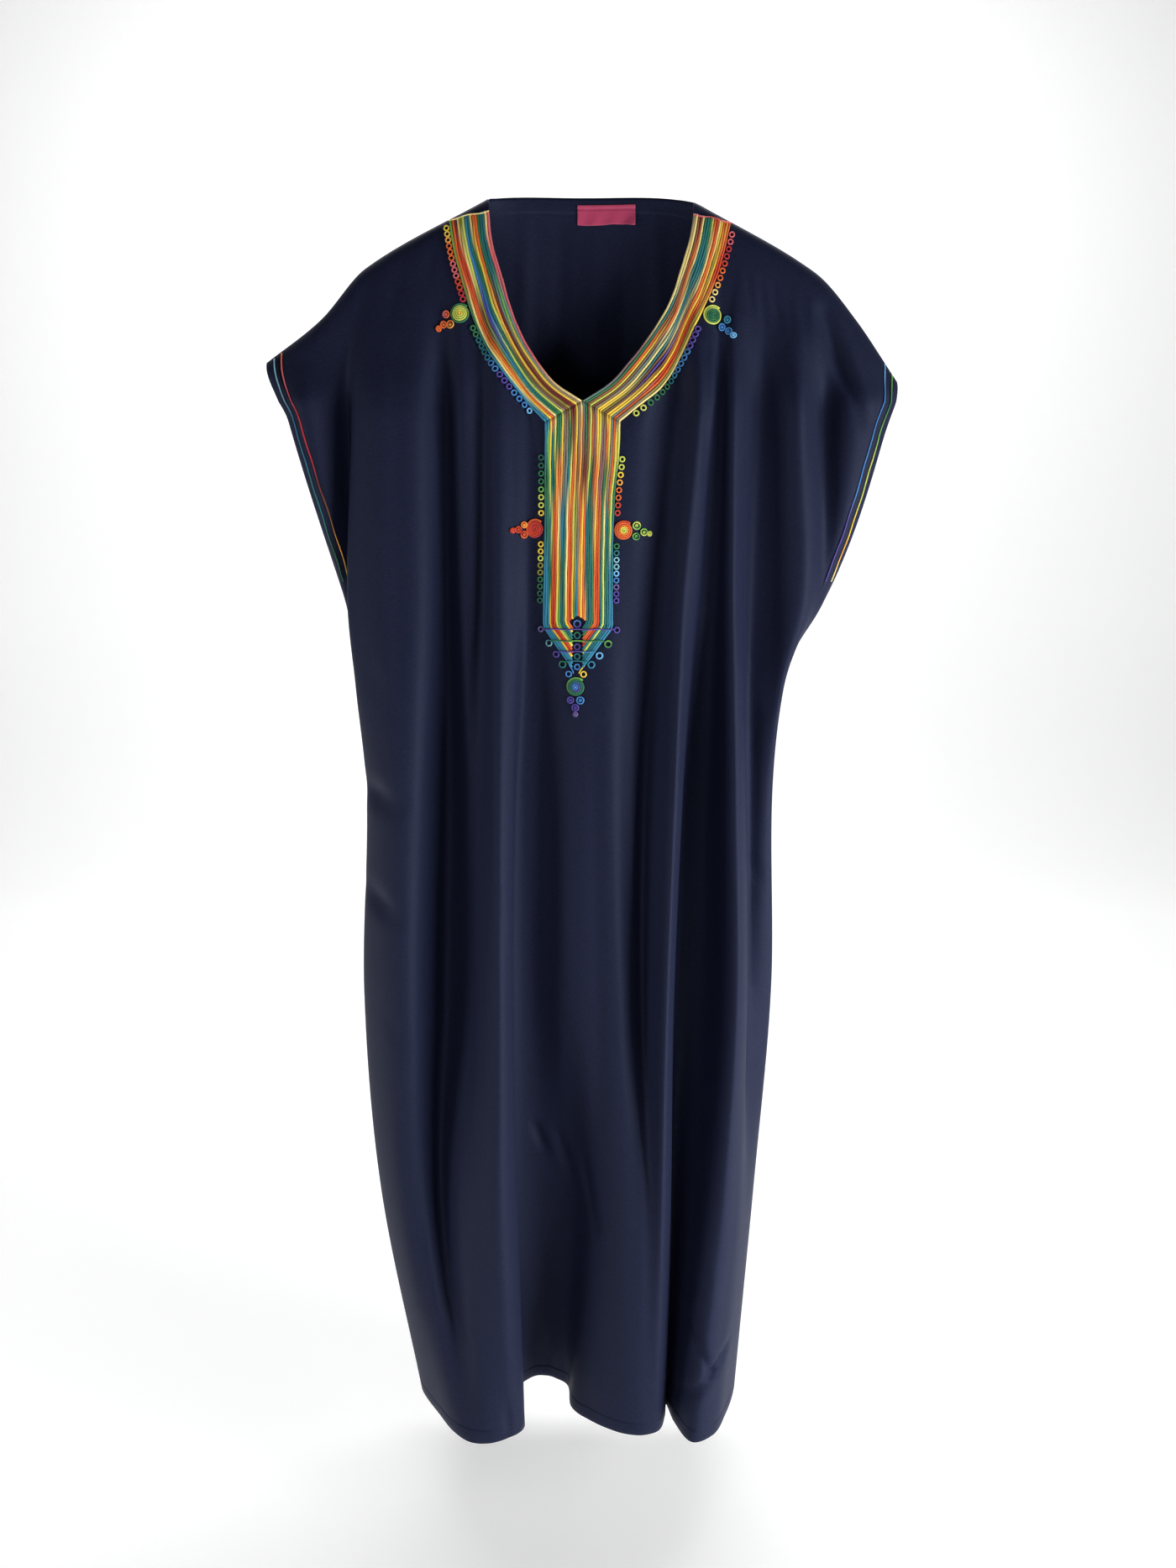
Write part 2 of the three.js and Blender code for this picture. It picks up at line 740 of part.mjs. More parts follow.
function placket() {
  const { drop: sideDrops, left: leftSide, right: rightSide } = PLACKET_SIDES;
  const place = (across, along) => {
    const peak = mix(BAND.endDrop, NECK_DEPTH, 1 - Math.abs(2 * across - 1)) + MITRE_GAP * 2;
    if (along <= PLACKET.squareShare) {
      const drop = mix(peak, PLACKET.squareEnd, along / PLACKET.squareShare);
      const left = through(sideDrops, leftSide, drop);
      const right = through(sideDrops, rightSide, drop);
      return { x: mix(left, right, across), drop };
    }
    const t = (along - PLACKET.squareShare) / (1 - PLACKET.squareShare);
    const left = mix(leftSide.at(-1), PLACKET.pointLeft, t);
    const right = mix(rightSide.at(-1), PLACKET.pointRight, t);
    return { x: mix(left, right, across), drop: mix(PLACKET.squareEnd, PLACKET.pointDrop, t) };
  };
  return appliedMesh("placket", frontPanel, 4 * CORDS, PLACKET.rows, place, cordLift, CORD);
}

function medallion({ name, across, drop }) {
  const { radius, crown, sectors } = MEDALLION;
  const positions = [];
  const index = [];
  const put = (x, z, height) => {
    const { point, normal } = frontPanel.placed(x, z);
    point.addScaledVector(normal, WALL / 2 + height);
    positions.push(point.x, point.y, point.z);
  };
  MEDALLION_RINGS.forEach(({ share, height }) => {
    for (let s = 0; s < sectors; s += 1) {
      const angle = (2 * Math.PI * s) / sectors;
      put(across + radius * share * Math.cos(angle), drop + radius * share * Math.sin(angle), height);
    }
  });
  const top = MEDALLION_RINGS.length * sectors;
  put(across, drop, crown);
  put(across, drop, -SINK);
  for (let s = 0; s < sectors; s += 1) {
    const next = (s + 1) % sectors;
    for (let k = 0; k + 1 < MEDALLION_RINGS.length; k += 1) {
      const a = k * sectors + s;
      const b = k * sectors + next;
      index.push(a, a + sectors, b, b, a + sectors, b + sectors);
    }
    const inner = (MEDALLION_RINGS.length - 1) * sectors;
    index.push(inner + s, top, inner + next);
    index.push(s, next, top + 1);
  }
  return meshOf(name, cutBack(geometryOf(positions, index), frontPanel.outside), CORD);
}

// Beside the sleeve opening, a set distance in from its edge.
function sleeveBraid(name, cloth, side) {
  const key = side < 0 ? "left" : "right";
  const tip = SHOULDERS[key].drop[3];
  const place = (across, along) => {
    const drop = mix(tip + BRAID.topDrop, BRAID.endDrop, along);
    const edge = cloth.at(side < 0 ? 0 : 1, (drop - tip) / (LENGTH - tip)).x;
    const w = side < 0 ? across : 1 - across;
    return { x: edge - side * (BRAID.inset + BRAID.width * w), drop };
  };
  const lift = (c) => SEAM_GAP + (c % 2 === 1 ? BRAID.cord : BRAID.between);
  return appliedMesh(name, cloth, BRAID.columns, BRAID.rows, place, lift, CORD);
}

function neckLabel() {
  const place = (across, along) => ({
    x: mix(LABEL.left, LABEL.right, across),
    drop: mix(LABEL.top, LABEL.bottom, along),
  });
  const lift = () => SEAM_GAP + LABEL.thick;
  return appliedMesh("neck_label", backPanel, LABEL.columns, LABEL.rows, place, lift, LABEL_CLOTH, true);
}

// ---- the garment ----
const kaftan = new THREE.Group();
kaftan.add(...makeBody());
kaftan.add(collarBand("collar_left", -1), collarBand("collar_right", 1), placket());
MEDALLIONS.forEach((row) => kaftan.add(medallion(row)));
kaftan.add(sleeveBraid("braid_front_left", frontPanel, -1));
kaftan.add(sleeveBraid("braid_front_right", frontPanel, 1));
kaftan.add(sleeveBraid("braid_back_left", backPanel, -1));
kaftan.add(sleeveBraid("braid_back_right", backPanel, 1));
kaftan.add(neckLabel());

export default kaftan;
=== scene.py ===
import math

import bpy
import numpy as np
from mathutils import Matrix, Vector


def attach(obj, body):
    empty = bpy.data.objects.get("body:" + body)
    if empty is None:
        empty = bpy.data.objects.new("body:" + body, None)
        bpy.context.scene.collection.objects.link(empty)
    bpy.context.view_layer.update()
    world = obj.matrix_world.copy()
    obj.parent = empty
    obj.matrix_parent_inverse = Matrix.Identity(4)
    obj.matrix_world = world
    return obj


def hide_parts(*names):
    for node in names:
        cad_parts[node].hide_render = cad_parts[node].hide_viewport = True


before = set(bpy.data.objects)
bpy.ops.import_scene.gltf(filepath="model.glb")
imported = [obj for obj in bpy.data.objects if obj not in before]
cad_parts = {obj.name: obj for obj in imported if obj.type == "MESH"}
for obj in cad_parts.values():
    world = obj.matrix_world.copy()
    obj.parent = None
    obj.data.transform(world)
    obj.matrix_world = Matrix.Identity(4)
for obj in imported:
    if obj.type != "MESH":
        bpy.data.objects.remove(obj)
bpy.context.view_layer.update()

# A long navy kaftan hanging from its shoulders. Metres; +Z up, the front faces -Y.
# A drop is a distance down from the neck corners.
# Tables in millimetres are marked MM and turned into metres where they are read.
MM = 0.001

# ---- the garment's form, as in the CAD part ----
LENGTH = 1.351
NECK_DEPTH = 0.202
HALF_SPAN = 0.330
# the rounding of the cloth over its top edge, and the drop in which it forms
HANG_RIDGE, RIDGE_FALL = 0.006, 0.008
# the drop in which the folds move from the top edge's spacing to their own
START_FALL = {"neck": 0.150, "tip": 0.060}
NECK_SPREAD = 0.060
# how far the chest stands out, its fullness at the sleeve tips, and how the folds grow down to it
BUST, BUST_ENDS, FOLD_GROWTH = 0.036, 1.02, 2.4
# how far a sleeve end stands open, and the share of the top edge that opens with it
SLEEVE_GAPE, SLEEVE_REACH = 0.014, 0.35
SHOULDERS = {  # MM
    "left": {"across": [95, 223, 271, 330], "drop": [0, 67, 117, 160]},
    "right": {"across": [114, 240, 284, 330], "drop": [3, 71, 117, 179]},
}
NECK_EDGE = {  # MM, how far the V edge is from the middle, by drop
    "left": {
        "drop": [0, 40, 75, 110, 140, 165, 185, 202],
        "across": [95, 92, 82.5, 72, 59.5, 43.5, 26.5, 0],
    },
    "right": {
        "drop": [3, 40, 75, 110, 140, 165, 185, 202],
        "across": [114, 109.5, 99, 86, 66.5, 46.5, 27.5, 0],
    },
}
BAND_EDGE = {  # MM, the outer edge of a collar band
    "left": {
        "drop": [20, 55, 90, 125, 160, 190, 223],
        "across": [136, 130.5, 121, 110, 91, 69, 38],
    },
    "right": {
        "drop": [22, 55, 90, 125, 160, 190, 223],
        "across": [152, 144.5, 133, 117, 101, 79, 39.5],
    },
}
PLACKET_SIDES = {  # MM
    "drop": [223, 260, 295, 330, 380, 432],
    "left": [-38, -38.5, -38.8, -39, -40.3, -41.3],
    "right": [39.5, 37.7, 34, 32.4, 31.7, 31.8],
}
# how far a band's top stays clear of the shoulder seam and of the neck corner, and where it ends
BAND = {"clear": 0.002, "inner_top": 0.014, "end_drop": 0.223}
# the back neck: the drop of its middle, how far it leans out, and the power of its curve
BACK_NECK = {"drop": -0.006, "out": 0.014, "falls": 4}
LEVELS = np.array([0.200, 0.400, 0.500, 0.620, 0.850, 1.090, LENGTH])
CHEST, ARM = LEVELS[0], LEVELS[1]

# name, start (place on the top edge, from -2 at the left sleeve tip over -1 at the neck corner to 2),
# then across and out at the seven levels, MM
FRONT_FOLDS = [
    ("left seam", -2, (-313, -262, -246, -236, -242, -230, -192), (0, -15, -35, -45, -50, -48, -42)),
    ("left wing crest", -1.85, (-286, -258, -246, -238, -248, -236, -196), (24, -4, -20, -25, -28, -25, -20)),
    ("left wing trough", -1.66, (-246, -247, -245, -240, -251, -239, -198), (2, 0, -6, -8, -5, 0, 4)),
    ("left fold edge", -1.53, (-234, -249, -244, -237, -248, -236, -195), (26, 28, 24, 20, 20, 26, 30)),
    ("left crest", -1.45, (-208, -212, -208, -202, -206, -203, -168), (40, 48, 56, 62, 66, 68, 74)),
    ("left crest flank", -1.33, (-168, -168, -172, -178, -186, -182, -148), (38, 46, 54, 60, 66, 68, 102)),
    ("deep trough", -1.21, (-143, -147, -148, -150, -157, -164, -128), (12, 10, 10, 10, 14, 44, 118)),
    ("small crest", -1.14, (-122, -123, -124, -124, -127, -136, -108), (34, 34, 34, 34, 42, 82, 120)),
    ("small trough", -1.08, (-104, -107, -110, -112, -114, -112, -92), (25, 28, 36, 44, 66, 100, 115)),
    ("middle crest", -0.93, (-88, -88, -88, -89, -91, -90, -78), (38, 50, 62, 76, 92, 108, 107)),
    ("middle crest edge", -0.72, (-68, -71, -73, -75, -77, -74, -68), (34, 42, 52, 62, 72, 84, 92)),
    ("valley side", -0.5, (-52, -57, -64, -73, -80, -82, -84), (30, 33, 34, 36, 36, 36, 36)),
    ("valley floor", -0.33, (-38, -42, -46, -52, -56, -52, -56), (32, 36, 34, 32, 28, 24, 6)),
    ("centre left", -0.17, (-18, -22, -22, -22, -24, -12, -20), (34, 42, 46, 50, 48, 36, 22)),
    ("centre", 0, (0, -2, 2, 6, 10, 14, -12), (35, 45, 53, 60, 60, 66, 64)),
    ("centre right", 0.25, (24, 26, 29, 32, 40, 44, 36), (37, 46, 56, 64, 66, 86, 100)),
    ("placket side", 0.5, (60, 53, 52, 52, 56, 64, 60), (38, 40, 46, 52, 54, 90, 107)),
    ("right trough", 0.72, (95, 79, 73, 67, 67, 76, 74), (24, 28, 34, 40, 46, 90, 106)),
    ("right crest", 1.03, (120, 104, 100, 96, 90, 88, 88), (46, 56, 68, 82, 92, 98, 99)),
    ("right crest edge", 1.1, (132, 116, 110, 105, 99, 99, 96), (41, 46, 55, 66, 72, 74, 76)),
    ("right valley", 1.15, (140, 128, 121, 113, 106, 104, 99), (29, 26, 24, 24, 24, 30, 56)),
    ("right valley far side", 1.2, (147, 142, 140, 138, 136, 126, 107), (29, 25, 23, 23, 26, 50, 86)),
    ("narrow crest", 1.25, (154, 157, 159, 162, 167, 153, 125), (42, 46, 58, 72, 82, 93, 118)),
    ("narrow crest edge", 1.3, (164, 166, 170, 174, 181, 174, 150), (36, 36, 46, 56, 62, 76, 106)),
    ("side trough", 1.4, (188, 184, 181, 180, 184, 190, 168), (12, 8, 10, 13, 18, 42, 72)),
    ("right side crest", 1.55, (222, 234, 216, 209, 216, 203, 181), (38, 32, 22, 10, 2, 8, 36)),
    ("right wing trough", 1.7, (254, 254, 216, 211, 218, 205, 187), (6, 10, -6, -14, -18, -14, 4)),
    ("right wing crest", 1.82, (280, 263, 212, 208, 214, 202, 188), (22, 0, -20, -28, -34, -30, -22)),
    ("right seam", 2, (327, 268, 207, 201, 206, 196, 184), (0, -15, -35, -45, -50, -48, -42)),
]
BACK_FOLDS = [
    ("left seam", -2, (-313, -262, -246, -236, -242, -230, -192), (0, 15, 35, 45, 50, 48, 42)),
    ("left wing", -1.8, (-282, -256, -238, -228, -232, -220, -186), (26, 30, 52, 64, 72, 74, 70)),
    ("left side crest", -1.55, (-236, -232, -216, -204, -204, -188, -168), (34, 50, 68, 82, 94, 98, 98)),
    ("left trough", -1.3, (-186, -188, -182, -172, -166, -152, -136), (16, 26, 36, 44, 54, 62, 72)),
    ("left crest", -1.1, (-140, -142, -138, -132, -126, -114, -104), (34, 52, 66, 80, 94, 104, 112)),
    ("left inner trough", -0.75, (-84, -92, -90, -86, -84, -76, -70), (22, 34, 42, 50, 58, 64, 68)),
    ("middle left crest", -0.3, (-36, -44, -44, -42, -42, -36, -34), (34, 48, 60, 72, 88, 100, 108)),
    ("middle trough", 0.08, (6, 0, -2, -2, -2, 0, 2), (24, 36, 44, 50, 60, 66, 72)),
    ("middle right crest", 0.45, (48, 42, 38, 36, 36, 38, 38), (36, 52, 64, 76, 92, 104, 112)),
    ("right inner trough", 0.85, (92, 84, 78, 74, 74, 74, 70), (22, 32, 40, 46, 54, 60, 66)),
    ("right crest", 1.15, (142, 132, 122, 116, 116, 110, 104), (34, 50, 64, 78, 92, 100, 106)),
    ("right trough", 1.38, (192, 184, 164, 154, 156, 148, 136), (16, 26, 38, 46, 56, 62, 70)),
    ("right side crest", 1.6, (242, 234, 192, 182, 186, 176, 164), (34, 48, 64, 74, 84, 90, 92)),
    ("right wing", 1.82, (286, 260, 204, 196, 202, 192, 180), (26, 28, 48, 58, 66, 68, 66)),
    ("right seam", 2, (327, 268, 207, 201, 206, 196, 184), (0, 15, 35, 45, 50, 48, 42)),
]


def mix(a, b, t):
    return a + (b - a) * t


def clamp(t):
    return np.clip(t, 0.0, 1.0)


def ease(t):
    t = clamp(t)
    return t * t * (3 - 2 * t)


def settle(t, soft=0.15):
    """The lesser of t and 1, rounded where they meet."""
    near = np.clip(1 + soft - t, 0, 2 * soft)
    return np.where(t < 1 - soft, t, 1 - near**2 / (4 * soft))


def through(at, value, t):
    """A smooth curve through (at, value) pairs, level past both ends.
    value is (m, n) or (n,), t is (m, r) or (r,)."""
    at = np.asarray(at, float)
    value = np.asarray(value, float)
    flat = value.ndim == 1
    value = np.atleast_2d(value)
    t = np.clip(np.atleast_2d(t), at[0], at[-1])
    slope = np.empty_like(value)
    slope[:, 0] = (value[:, 1] - value[:, 0]) / (at[1] - at[0])
    slope[:, -1] = (value[:, -1] - value[:, -2]) / (at[-1] - at[-2])
    slope[:, 1:-1] = (value[:, 2:] - value[:, :-2]) / (at[2:] - at[:-2])
    i = np.clip(np.searchsorted(at, t, side="left") - 1, 0, len(at) - 2)
    step = at[i + 1] - at[i]
    s = (t - at[i]) / step
    low = np.take_along_axis(value, i, 1)
    rise = np.take_along_axis(value, i + 1, 1) - low
    start_slope = np.take_along_axis(slope, i, 1) * step - rise
    end_slope = np.take_along_axis(slope, i + 1, 1) * step - rise
    result = low + rise * s + s * (1 - s) * (start_slope * (1 - s) - end_slope * s)
    return result[0] if flat else result


def curve_points(points, c):
    """Points at shares c of a centripetal Catmull-Rom curve through points (n, 2)."""
    n = len(points)
    padded = np.vstack([2 * points[0] - points[1], points, 2 * points[-1] - points[-2]])
    place = np.clip(np.asarray(c, float) * (n - 1), 0, n - 1)
    k = np.minimum(place.astype(int), n - 2)
    w = (place - k)[:, None]
    p0, p1, p2, p3 = padded[k], padded[k + 1], padded[k + 2], padded[k + 3]
    pairs = ((p0, p1), (p1, p2), (p2, p3))
    d0, d1, d2 = [np.sqrt(np.linalg.norm(b - a, axis=1))[:, None] for a, b in pairs]
    t1 = ((p1 - p0) / d0 - (p2 - p0) / (d0 + d1) + (p2 - p1) / d1) * d1
    t2 = ((p2 - p1) / d1 - (p3 - p1) / (d1 + d2) + (p3 - p2) / d2) * d1
    square = -3 * p1 + 3 * p2 - 2 * t1 - t2
    cube = 2 * p1 - 2 * p2 + t1 + t2
    return p1 + t1 * w + square * w**2 + cube * w**3


def by_table(table, at, value, t):
    """Metres read from a table in millimetres, for an array of any shape."""
    t = np.asarray(t, float)
    return through(table[at], table[value], t.ravel() / MM).reshape(t.shape) * MM


def by_side(tables, at, value, t, x):
    """The same, from the left or the right table by the sign of x."""
    left = by_table(tables["left"], at, value, t)
    return np.where(np.asarray(x) < 0, left, by_table(tables["right"], at, value, t))


def shoulder_drop(x):
    return by_side(SHOULDERS, "across", "drop", np.abs(x), x)


def side_values(start, name, column):
    """A shoulder table's value on the side that each start lies on."""
    return np.where(start < 0, SHOULDERS["left"][name][column], SHOULDERS["right"][name][column]) * MM


def top_edge(start, front):
    """x, drop and whether it is a seam, for places on the top edge from -2 (left tip) to 2 (right tip)."""
    sign = np.where(start < 0, -1.0, 1.0)
    along = np.abs(start)
    corner, corner_drop = side_values(start, "across", 0), side_values(start, "drop", 0)
    seam = along >= 1
    seam_x = sign * mix(corner, side_values(start, "across", 3), along - 1)
    if front:
        neck_drop = mix(corner_drop, NECK_DEPTH, 1 - along)
        neck_x = sign * by_side(NECK_EDGE, "drop", "across", neck_drop, start)
    else:
        neck_x = sign * corner * along
        neck_drop = mix(BACK_NECK["drop"], corner_drop, along ** BACK_NECK["falls"])
    return np.where(seam, seam_x, neck_x), np.where(seam, shoulder_drop(seam_x), neck_drop), seam


class Panel:
    """One side of the garment: a surface over (column share, drop)."""

    def __init__(self, folds, facing):
        self.facing = facing
        self.starts = np.array([row[1] for row in folds], float)
        self.across = np.array([row[2] for row in folds], float) * MM
        self.out = np.array([row[3] for row in folds], float) * MM
        self.last = len(folds) - 1

    def start_of(self, c):
        return np.interp(np.asarray(c) * self.last, np.arange(self.last + 1), self.starts)

    def top_of(self, c):
        return top_edge(self.start_of(c), self.facing < 0)[1]

    def at(self, c, drop):
        """Points (m, r, 3) for column shares c (m,) and drops (m, r)."""
        start = self.start_of(c)[:, None]
        top_x, top_drop, seam = top_edge(start, self.facing < 0)
        sections = []
        for k in range(len(LEVELS)):
            corners = np.stack([self.across[:, k], self.facing * self.out[:, k]], 1)
            sections.append(curve_points(corners, c))
        acrosses = np.stack([p[:, 0] for p in sections], 1)
        outs = np.stack([p[:, 1] for p in sections], 1)
        shift = top_x - through(LEVELS, acrosses, top_drop)
        fall = mix(START_FALL["neck"], START_FALL["tip"], clamp(np.abs(start) - 1))
        x = through(LEVELS, acrosses, drop) + shift * (1 - ease((drop - top_drop) / fall))
        edge = np.where(seam, top_drop, 0.0)
        below = np.maximum(0, drop - edge)
        grown = settle(below / (CHEST - edge))
        clear = below + NECK_SPREAD * np.maximum(0, 1 - np.abs(start))
        ridge = HANG_RIDGE * (1 - np.exp(-clear / RIDGE_FALL)) * (1 - grown)
        if self.facing < 0:
            neck = 0.0
        else:
            neck = np.where(seam, 0.0, BACK_NECK["out"] * (1 - start**2) * (1 - grown))
        base = BUST * np.sqrt(clamp(BUST_ENDS - (top_x / HALF_SPAN) ** 2))
        fold = self.facing * through(LEVELS, outs, drop) - base
        tip = side_values(start, "drop", 3)
        near = ease(1 - (2 - np.abs(start)) / SLEEVE_REACH)
        gape = SLEEVE_GAPE * np.sin(math.pi * clamp((drop - tip) / (ARM - tip))) * near
        y = self.facing * (ridge + neck + base * grown + fold * grown**FOLD_GROWTH + gape)
        return np.stack([x, y, -drop], -1)


front_panel = Panel(FRONT_FOLDS, -1)
back_panel = Panel(BACK_FOLDS, 1)


# ---- places on the cloth ----
class Skin:
    """The outermost points of a panel over a rectangle of x and drop, and the way it faces there.
    What is sewn on it is stiff and bridges narrow hollows, by so many steps."""

    STEP = 0.002
    REACH = 0.004  # to each side of a point, for its slope
    LOOKS = 900

    def __init__(self, panel, x_range, drop_range, bridges=0):
        self.facing = panel.facing
        self.low = np.array([x_range[0], drop_range[0]])
        self.xs = np.arange(*x_range, self.STEP)
        self.drops = np.arange(*drop_range, self.STEP)
        lines = panel.at(np.linspace(0, 1, self.LOOKS), np.tile(self.drops, (self.LOOKS, 1)))
        self.y = np.empty((len(self.xs), len(self.drops)))
        for r in range(len(self.drops)):
            x, y = lines[:, r, 0, None], lines[:, r, 1, None] * self.facing
            width = x[1:] - x[:-1]
            share = (self.xs[None] - x[:-1]) / np.where(width == 0, 1e-9, width)
            crosses = (share >= 0) & (share <= 1)
            best = np.where(crosses, mix(y[:-1], y[1:], share), -1.0).max(0)
            known = np.flatnonzero(best > -1)
            self.y[:, r] = np.interp(np.arange(len(self.xs)), known, best[known])
        if bridges:
            window = np.hanning(bridges + 2)[1:-1]
            wide = np.pad(self.y, ((bridges // 2, bridges // 2), (0, 0)), mode="edge")
            level = sum(share * wide[k : k + len(self.xs)] for k, share in enumerate(window / window.sum()))
            self.y = np.maximum(self.y, level)
        self.y *= self.facing

    def height(self, x, drop):
        u = np.clip((x - self.low[0]) / self.STEP, 0, len(self.xs) - 1.001)
        v = np.clip((drop - self.low[1]) / self.STEP, 0, len(self.drops) - 1.001)
        i, j = u.astype(int), v.astype(int)
        near = mix(self.y[i, j], self.y[i + 1, j], u - i)
        return mix(near, mix(self.y[i, j + 1], self.y[i + 1, j + 1], u - i), v - j)

    def put(self, x, drop, lift):
        """Points lifted off the cloth along its normal, and the normals."""
        x, drop, lift = [np.array(v, float) for v in np.broadcast_arrays(x, drop, lift)]
        slope_x = (self.height(x + self.REACH, drop) - self.height(x - self.REACH, drop)) / (2 * self.REACH)
        slope_d = (self.height(x, drop + self.REACH) - self.height(x, drop - self.REACH)) / (2 * self.REACH)
        normal = np.stack([-slope_x, np.ones_like(slope_x), slope_d], -1) * self.facing
        normal /= np.linalg.norm(normal, axis=-1, keepdims=True)
        return np.stack([x, self.height(x, drop), -drop], -1) + normal * lift[..., None], normal


chest_skin = Skin(front_panel, (-0.18, 0.18), (0.0, 0.56), 11)
nape_skin = Skin(back_panel, (-0.09, 0.11), (-0.006, 0.06))


# ---- meshes ----
def link(obj):
    bpy.context.scene.collection.objects.link(obj)
    return obj


def grid_mesh(name, points, facing):
    """A quad mesh from points (columns, rows, 3), its normals on the side that facing gives."""
    columns, rows = points.shape[:2]
    ids = np.arange(columns * rows).reshape(columns, rows)
    quads = np.stack([ids[:-1, :-1], ids[:-1, 1:], ids[1:, 1:], ids[1:, :-1]], -1).reshape(-1, 4)
    if facing > 0:
        quads = quads[:, ::-1]
    mesh = bpy.data.meshes.new(name)
    mesh.from_pydata(points.reshape(-1, 3).tolist(), [], quads.tolist())
    mesh.polygons.foreach_set("use_smooth", [True] * len(mesh.polygons))
    return link(bpy.data.objects.new(name, mesh))


def colour(text):
    """Linear colour from a six-figure sRGB one."""
    value = np.array([int(text[i : i + 2], 16) for i in (0, 2, 4)]) / 255
    return np.where(value <= 0.04045, value / 12.92, ((value + 0.055) / 1.055) ** 2.4)


# Yarn colours, one letter each.
YARNS = {
    "W": "ecd88c",  # cream
    "Y": "ecc845",  # yellow
    "y": "c9d25e",  # yellow-green
    "o": "e9a447",  # amber
    "O": "d9652a",  # orange
    "R": "c63f22",  # red-orange
    "c": "b32b35",  # red
    "C": "d4636a",  # coral pink
    "r": "6f2a22",  # dark red-brown
    "B": "7b5233",  # brown
    "b": "8b7763",  # grey-brown
    "M": "91696c",  # mauve
    "L": "8c8a3c",  # olive
    "g": "6fae4c",  # light green
    "G": "2c7048",  # green
    "D": "24604a",  # dark green
    "T": "1f6e74",  # teal
    "t": "2f7f9d",  # blue-teal
    "s": "7fb7c4",  # light blue-grey
    "S": "6d8682",  # grey-teal
    "U": "3f7fc0",  # blue
    "u": "74b6e6",  # light blue
    "P": "54429a",  # purple
    "p": "6a5a94",  # pale purple
    "K": "22222f",  # dark grey
}
YARN_COLOURS = {letter: colour(text) for letter, text in YARNS.items()}


def shades(letters, share, stations=None):
    """Yarn colours along a cord: letters name its colours at stations, which are even unless given."""
    table = np.array([YARN_COLOURS[letter] for letter in letters])
    if len(table) == 1:
        return np.tile(table, (len(share), 1))
    at = np.linspace(0, 1, len(table)) if stations is None else np.asarray(stations)
    spot = np.interp(share, at, np.arange(len(table)))
    k = np.minimum(spot.astype(int), len(table) - 2)
    return mix(table[k], table[k + 1], ease(spot - k)[:, None])


def length_along(path):
    return np.concatenate([[0], np.cumsum(np.linalg.norm(np.diff(path, axis=0), axis=1))])


class Cords:
    """Swept cords gathered into one mesh, with their yarn colour and their length as attributes."""

    SIDES, FINE_SIDES = 8, 6  # of a couched cord and of a thin one

    def __init__(self):
        self.points, self.faces, self.tints, self.alongs = [], [], [], []
        self.count = 0

    def rings(self, path, normal, radius, sides=SIDES, closed=False):
        if closed:
            tangent = np.roll(path, -1, 0) - np.roll(path, 1, 0)
        else:
            tangent = np.gradient(path, axis=0)
        tangent /= np.linalg.norm(tangent, axis=1, keepdims=True)
        side = np.cross(tangent, normal)
        side /= np.linalg.norm(side, axis=1, keepdims=True)
        up = np.cross(side, tangent)
        angle = np.linspace(0, 2 * math.pi, sides, endpoint=False)
        radius = np.broadcast_to(radius, (len(path),))[:, None, None]
        around = np.cos(angle)[None, :, None] * side[:, None] + np.sin(angle)[None, :, None] * up[:, None]
        return path[:, None] + around * radius

    def sweep(self, rings, tint, along, closed=False):
        n, sides = rings.shape[:2]
        ids = self.count + np.arange(n * sides).reshape(n, sides)
        if closed:
            ids = np.vstack([ids, ids[:1]])
        aside = np.roll(ids, -1, 1)
        quads = np.stack([ids[:-1], aside[:-1], aside[1:], ids[1:]], -1).reshape(-1, 4)
        self.faces += quads.tolist()
        if not closed:
            self.faces += [ids[0].tolist()[::-1], ids[-1].tolist()]
        self.points.append(rings.reshape(-1, 3))
        self.tints.append(np.repeat(tint, sides, 0))
        self.alongs.append(np.repeat(along, sides))
        self.count += n * sides

    def add(self, path, normal, radius, tint, closed=False):
        """One thin cord."""
        rings = self.rings(path, normal, radius, self.FINE_SIDES, closed)
        self.sweep(rings, tint, length_along(path), closed)

    def make(self, node, material, slot):
        """The piece that shows in place of a node."""
        name = node + "_cords"
        mesh = bpy.data.meshes.new(name)
        mesh.from_pydata(np.concatenate(self.points).tolist(), [], self.faces)
        mesh.polygons.foreach_set("use_smooth", [True] * len(mesh.polygons))
        tint = mesh.attributes.new("tint", "FLOAT_COLOR", "POINT")
        rgba = np.column_stack([np.concatenate(self.tints), np.ones(self.count)])
        tint.data.foreach_set("color", rgba.astype(np.float32).ravel())
        along = mesh.attributes.new("along", "FLOAT", "POINT")
        along.data.foreach_set("value", np.concatenate(self.alongs).astype(np.float32))
        mesh.materials.append(material)
        obj = link(bpy.data.objects.new(name, mesh))
        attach(obj, "root")
        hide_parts(node)


# ---- materials ----
def new_material(name):
    material = bpy.data.materials.new(name)
    material.use_nodes = True
    nodes = material.node_tree.nodes
    return nodes, material.node_tree.links, nodes["Principled BSDF"], material


def settings(node, values):
    for name, value in values.items():
        node.inputs[name].default_value = value


def noise(nodes, links, scale, detail=2.0, vector=None):
    texture = nodes.new("ShaderNodeTexNoise")
    settings(texture, {"Scale": scale, "Detail": detail})
    if vector is not None:
        links.new(vector, texture.inputs["Vector"])
    return texture.outputs["Fac"]


def stretched(nodes, links, scale):
    """Object coordinates scaled along each axis."""
    source = nodes.new("ShaderNodeTexCoord")
    mapping = nodes.new("ShaderNodeMapping")
    settings(mapping, {"Scale": scale})
    links.new(source.outputs["Object"], mapping.inputs["Vector"])
    return mapping.outputs["Vector"]


